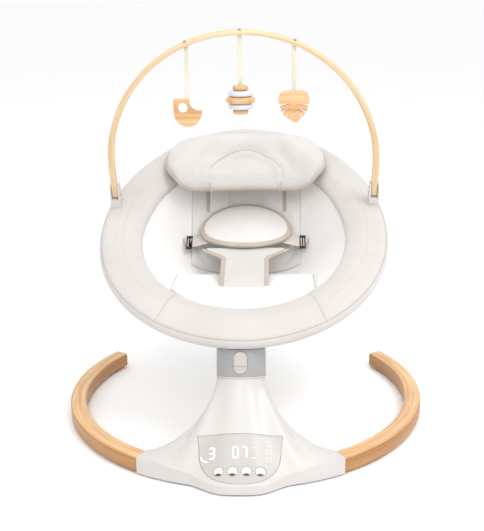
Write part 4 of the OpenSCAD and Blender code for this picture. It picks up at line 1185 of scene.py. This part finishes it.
def crotch_under(x, s):
    t = (s - CROTCH_LOW) / (CROTCH_HIGH - CROTCH_LOW)
    return lerp(bowl(0.0, float(CROTCH_LOW)) - CUSHION_T - 2, 82, smooth(t)) + 0 * x


def crotch_place(inset):
    def place(u, v):
        t = (v + 1) / 2
        return (crotch_half(t) - inset) * u, lerp(CROTCH_LOW, CROTCH_HIGH, t)

    return place


solid_pad("crotch_binding", crotch_place(0), crotch_under, 6, PIPING, "webbing", 4)
crotch = puff(
    "crotch_pad", crotch_place(8), lambda x, s: crotch_under(x, s) - 5, 4, PLUSH, "velvet",
    cap=2.0, thin=1.6, fill=0.45,
)
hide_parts("crotch_strap")

# shoulder pads
PAD_X, PAD_W, BACK_TOP = 52, 45, 14.4


def back_top(x, s):
    return bowl(x, s) - BACK_TOP


def strip_place(u, v):
    """Bare strip of the back rest between the shoulder pads."""
    return 27 * u, lerp(CREASE + 30, PILLOW_S, (v + 1) / 2)


# strip painted darker as the shade that falls between the shoulder pads
solid_pad("back_strip", strip_place, back_top, 1.4, SHADED, "velvet", 1.0)

for side in (-1, 1):

    def pad_place(inset, side=side):
        def place(u, v):
            x = side * PAD_X + (PAD_W / 2 - inset) * u - side * inset * 0.7
            return x, lerp(BELLY_S + BELLY_B - 12, PILLOW_S + 16, (v + 1) / 2)

        return place

    name = "left" if side < 0 else "right"
    solid_pad(name + "_shoulder_binding", pad_place(0), back_top, 3.5, PIPING, "webbing", 2.5)
    # shoulder pad tops in the plush painted lighter against the shade inside the seat
    pad = puff(
        name + "_shoulder_top", pad_place(4), lambda x, s: back_top(x, s) - 3.2, 4, PLUSH_PAINTED_LIGHT, "velvet",
        cap=1.5, thin=1.6, fill=0.4,
    )
    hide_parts(name + "_shoulder_pad")

# waist straps
STRAP_S, STRAP_W, SLIDER_X = 58, 25, 103.2


def strap_depth(x):
    far = smooth((np.abs(x) - 58) / (SLIDER_X - 58))
    return lerp(belly_under(58.0, STRAP_S) + 4, bowl(SLIDER_X, float(STRAP_S)) - 19, far)


def ribbed_strap(name, path, across_way, width, thick, mat, body, slot):
    """Woven strap along a path with rounded edges and two ribs near them."""
    v = np.linspace(-1, 1, 17)
    ribs = 0.25 * np.exp(-(((np.abs(v) - 0.82) / 0.1) ** 2))
    edge = np.sqrt(np.maximum(0, 1 - np.abs(v) ** 12))
    step = np.gradient(path, axis=0)
    step /= np.linalg.norm(step, axis=1)[:, None]
    across_way = across_way / np.linalg.norm(across_way, axis=1)[:, None]
    out = np.cross(step, across_way)
    mid = path[:, None, :] + across_way[:, None, :] * (v * width / 2)[None, :, None]
    lift = ((thick / 2 + ribs) * edge + 0.08)[None, :, None] * out[:, None, :]
    return make(name, *slab_data(mid - lift, mid + lift), mat, body, slot, 60)


for side in (-1, 1):
    name = "left" if side < 0 else "right"
    x = side * np.linspace(56, SLIDER_X + 8, 40)
    far = (np.abs(x) - 56) / 52
    path = seat_point(x, STRAP_S + 0 * x, strap_depth(x) - 0.8)
    twist = np.radians(22) * smooth((far - 0.1) / 0.7) * side
    flat = np.cos(twist)
    across_way = np.stack([np.sin(twist), flat * np.cos(TILT), flat * np.sin(TILT)], -1)
    strap = ribbed_strap(name + "_waist_web", path, across_way, STRAP_W, 1.6, WEB, "seat", "webbing")
    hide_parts(name + "_waist_strap")

# sliders, tag and latch
rounded("strap_sliders", 0.9, DARK)
rounded("label_tag", 0.3, LINING)
rounded("latch_button", 1.2, CREAM, 4)

# ---------- toy bar ----------

BAR_X, BAR_FOOT_Y, BAR_FOOT_Z = 223.7, 97.33, 321.97
PIVOT_H, BAR_STRAIGHT, BAR_RISE = 36, 48, 292
BAR_LEAN = np.radians(21)
BAR_T, BAR_TOP_T, BAR_W, BAR_LOW = 11, 6.5, 11, 29.5
TOY_PITCH = 84


def on_bar(x, h, out):
    """Point in the bar's leaning plane; out is its distance from the plane."""
    y = BAR_FOOT_Y - h * np.sin(BAR_LEAN) + out * np.cos(BAR_LEAN)
    z = BAR_FOOT_Z + h * np.cos(BAR_LEAN) + out * np.sin(BAR_LEAN)
    return np.stack([x, y, z], -1)


def bar_thick(x):
    return lerp(BAR_TOP_T, BAR_T, (np.abs(x) / BAR_X) ** 3)


def add_bar():
    a = np.linspace(0, np.pi, 241)
    x = BAR_X * np.cos(a)
    h = PIVOT_H + BAR_STRAIGHT + (BAR_RISE - BAR_STRAIGHT) * np.sin(a)
    rise = np.linspace(BAR_LOW, h[0], 14)[:-1]
    x = np.concatenate([0 * rise + BAR_X, x, 0 * rise - BAR_X])
    h = np.concatenate([rise, h, rise[::-1]])
    dx, dh = np.gradient(x), np.gradient(h)
    size = np.hypot(dx, dh)
    nx, nh = dh / size, -dx / size
    along = np.cumsum(size)
    rings, grain = [], []
    for k in range(len(x)):
        section = corner_profile(bar_thick(x[k]), BAR_W, 2)
        px = x[k] + nx[k] * section[:, 0]
        ph = h[k] + nh[k] * section[:, 0]
        rings.append(on_bar(px, ph, section[:, 1]))
        grain.append(np.stack([along[k] + 0 * px, section[:, 0] + 900, section[:, 1]], -1))
    bar = make("toy_bar_beech", *loft_data(rings), PALE_WOOD, "toy_bar", "wood", 30, grain=grain)
    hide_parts("toy_bar")


add_bar()
for node in ("left_socket", "right_socket"):
    rounded(node, 1.1, WHITE)
rounded("bar_knobs", 0.7, GREY)

RIBBON_W = 7
HEM_GAP = 3.2
RIBBONS = [("left", -TOY_PITCH, 76), ("middle", 0, 75), ("right", TOY_PITCH, 66)]


def ribbon_top(x):
    """Place of a ribbon's rolled hem, a little under the bar."""
    t = x / BAR_X
    side = np.sqrt(1 - t * t)
    slope = np.arctan((BAR_RISE - BAR_STRAIGHT) / BAR_X * t / side)
    h = PIVOT_H + BAR_STRAIGHT + (BAR_RISE - BAR_STRAIGHT) * side
    return on_bar(x, h - bar_thick(x) / 2 / np.cos(slope) - HEM_GAP, 0)


for name, x, length in RIBBONS:
    top = ribbon_top(x)
    drop = np.linspace(-6, length + 3, 60)
    sway = 0.5 * np.sin(drop / 11 + top[0])
    path = np.stack([top[0] + 0 * drop, top[1] + sway, top[2] - drop], -1)
    turn = np.radians(12) * np.sin(drop / 26 + top[0] * 0.02)
    across_way = np.stack([np.cos(turn), np.sin(turn), 0 * turn], -1)
    ribbon = ribbed_strap(name + "_tape", path, across_way, RIBBON_W, 1.1, TAPE, name + "_toy", "ribbon")
    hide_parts(name + "_ribbon")

for node in ("teether", "wooden_leaf"):
    rounded(node, 1.3, TOY_WOOD, 4)


def add_rings(node, keep, mat, slot):
    """Turned rings of the stack, from their heights and widths."""
    heights = [7.5, 9, 10, 9, 7.5]
    widths = [25, 39, 46, 39, 25]
    low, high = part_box("wooden_rings")
    z = high[2] * 1000 - heights[0] / 2
    turns = np.linspace(0, 2 * np.pi, 72, endpoint=False)
    parts = []
    for k in range(5):
        if k:
            z -= (heights[k - 1] + heights[k]) / 2 + 0.4
        if k in keep:
            h = heights[k] / 2
            bend = np.linspace(-np.pi / 2, np.pi / 2, 15)
            radius = [2.2] + list(widths[k] / 2 - h + h * np.cos(bend)) + [2.2]
            level = [-h] + list(h * np.sin(bend)) + [h]
            top = ribbon_top(0)
            rings = [
                np.stack([top[0] + r * np.cos(turns), top[1] + r * np.sin(turns), z + q + 0 * turns], -1)
                for r, q in zip(radius, level)
            ]
            parts.append(loft_data(rings, True))
    obj = make(node + "_turned", *joined(parts), mat, "middle_toy", slot, 50)
    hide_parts(node)


add_rings("wooden_rings", (0, 2, 4), TOY_WOOD, "wood")
add_rings("pale_rings", (1, 3), PALE_PAINT, "pale_wood")

# ---------- materials of the CAD nodes ----------

FINISHES = [
    (WHITE, ["base_housing", "base_cover", "control_panel", "collar_ring"]),
    (WHITE, ["left_socket", "right_socket"]),
    (KEY, ["power_button", "speed_button", "timer_button", "sound_button"]),
    (GREY, ["collar_shell", "seat_hub", "bearing_housing", "bar_knobs", "magnet_arm"]),
    (RUBBER, ["leg_feet", "base_feet"]),
    (DARK, ["power_inlet", "speaker", "strap_sliders"]),
    (STEEL, ["leg_screws", "cover_screws", "bar_pins", "latch_spring", "drive_magnet"]),
    (STEEL, ["lower_bearing", "upper_bearing", "swing_shaft"]),
    (TUBE, ["seat_frame", "seat_support"]),
    (BRASS, ["drive_coil"]),
    (BOARD, ["control_board"]),
    (CREAM, ["latch_button"]),
    (LIT, ["display_digits", "display_symbols"]),
    (WOOD, ["left_leg", "right_leg"]),
    (PALE_WOOD, ["toy_bar"]),
    (TOY_WOOD, ["teether", "wooden_rings", "wooden_leaf"]),
    (PALE_PAINT, ["pale_rings"]),
    (VELVET, ["rim_cover"]),
    (PLUSH, ["seat_cushion", "back_panel", "head_pillow", "belly_pad", "crotch_strap"]),
    (PLUSH, ["left_shoulder_pad", "right_shoulder_pad"]),
    (LINING, ["seat_liner", "label_tag"]),
    (WEB, ["left_waist_strap", "right_waist_strap"]),
    (TAPE, ["left_ribbon", "middle_ribbon", "right_ribbon"]),
]
for mat, names in FINISHES:
    for name in names:
        slots = frame["nodes"][name].material_slots
        if not slots:
            frame["nodes"][name].data.materials.append(mat)
        for slot in slots:
            slot.material = mat

# ---------- floor, light and world ----------


def add_floor():
    mesh = bpy.data.meshes.new("floor")
    n = 24
    grid = np.linspace(-40, 40, n)
    x, y = np.meshgrid(grid, grid)
    points = np.stack([x, y, 0 * x - 0.0002], -1).reshape(-1, 3)
    mesh.from_pydata(points.tolist(), [], grid_faces(n, n))
    mat, tree, shader = new_material("floor_paper")
    noise = texture(tree, "ShaderNodeTexNoise", place_of(tree), Scale=3.0, Detail=2.0)
    tone = blend_colours(tree, noise.outputs["Fac"], (0.965, 0.965, 0.965), (0.98, 0.98, 0.98))
    link(tree, tone, shader.inputs["Base Color"])
    shader.inputs["Roughness"].default_value = 0.9
    shader.inputs["Specular IOR Level"].default_value = 0.1
    mesh.materials.append(mat)
    floor = bpy.data.objects.new("floor", mesh)
    bpy.context.scene.collection.objects.link(floor)


def add_light(name, place, target, size, power):
    data = bpy.data.lights.new(name, "AREA")
    data.shape = "DISK"
    data.size = size
    data.energy = power
    light = bpy.data.objects.new(name, data)
    way = Vector(target) - Vector(place)
    light.matrix_world = Matrix.Translation(place) @ way.to_track_quat("-Z", "Y").to_matrix().to_4x4()
    bpy.context.scene.collection.objects.link(light)


add_floor()
add_light("key", (1.3, -1.2, 2.2), (0, 0, 0.3), 1.2, 22)
add_light("top", (0.2, 0.2, 2.6), (0, 0, 0.2), 1.6, 10)
add_light("fill", (-0.2, -1.5, 1.5), (0, 0.05, 0.3), 0.9, 7)

world = bpy.data.worlds.new("studio")
world.use_nodes = True
world.node_tree.nodes["Background"].inputs["Color"].default_value = (1, 1, 1, 1)
world.node_tree.nodes["Background"].inputs["Strength"].default_value = 1.0
bpy.context.scene.world = world
bpy.context.scene.view_settings.view_transform = "Standard"
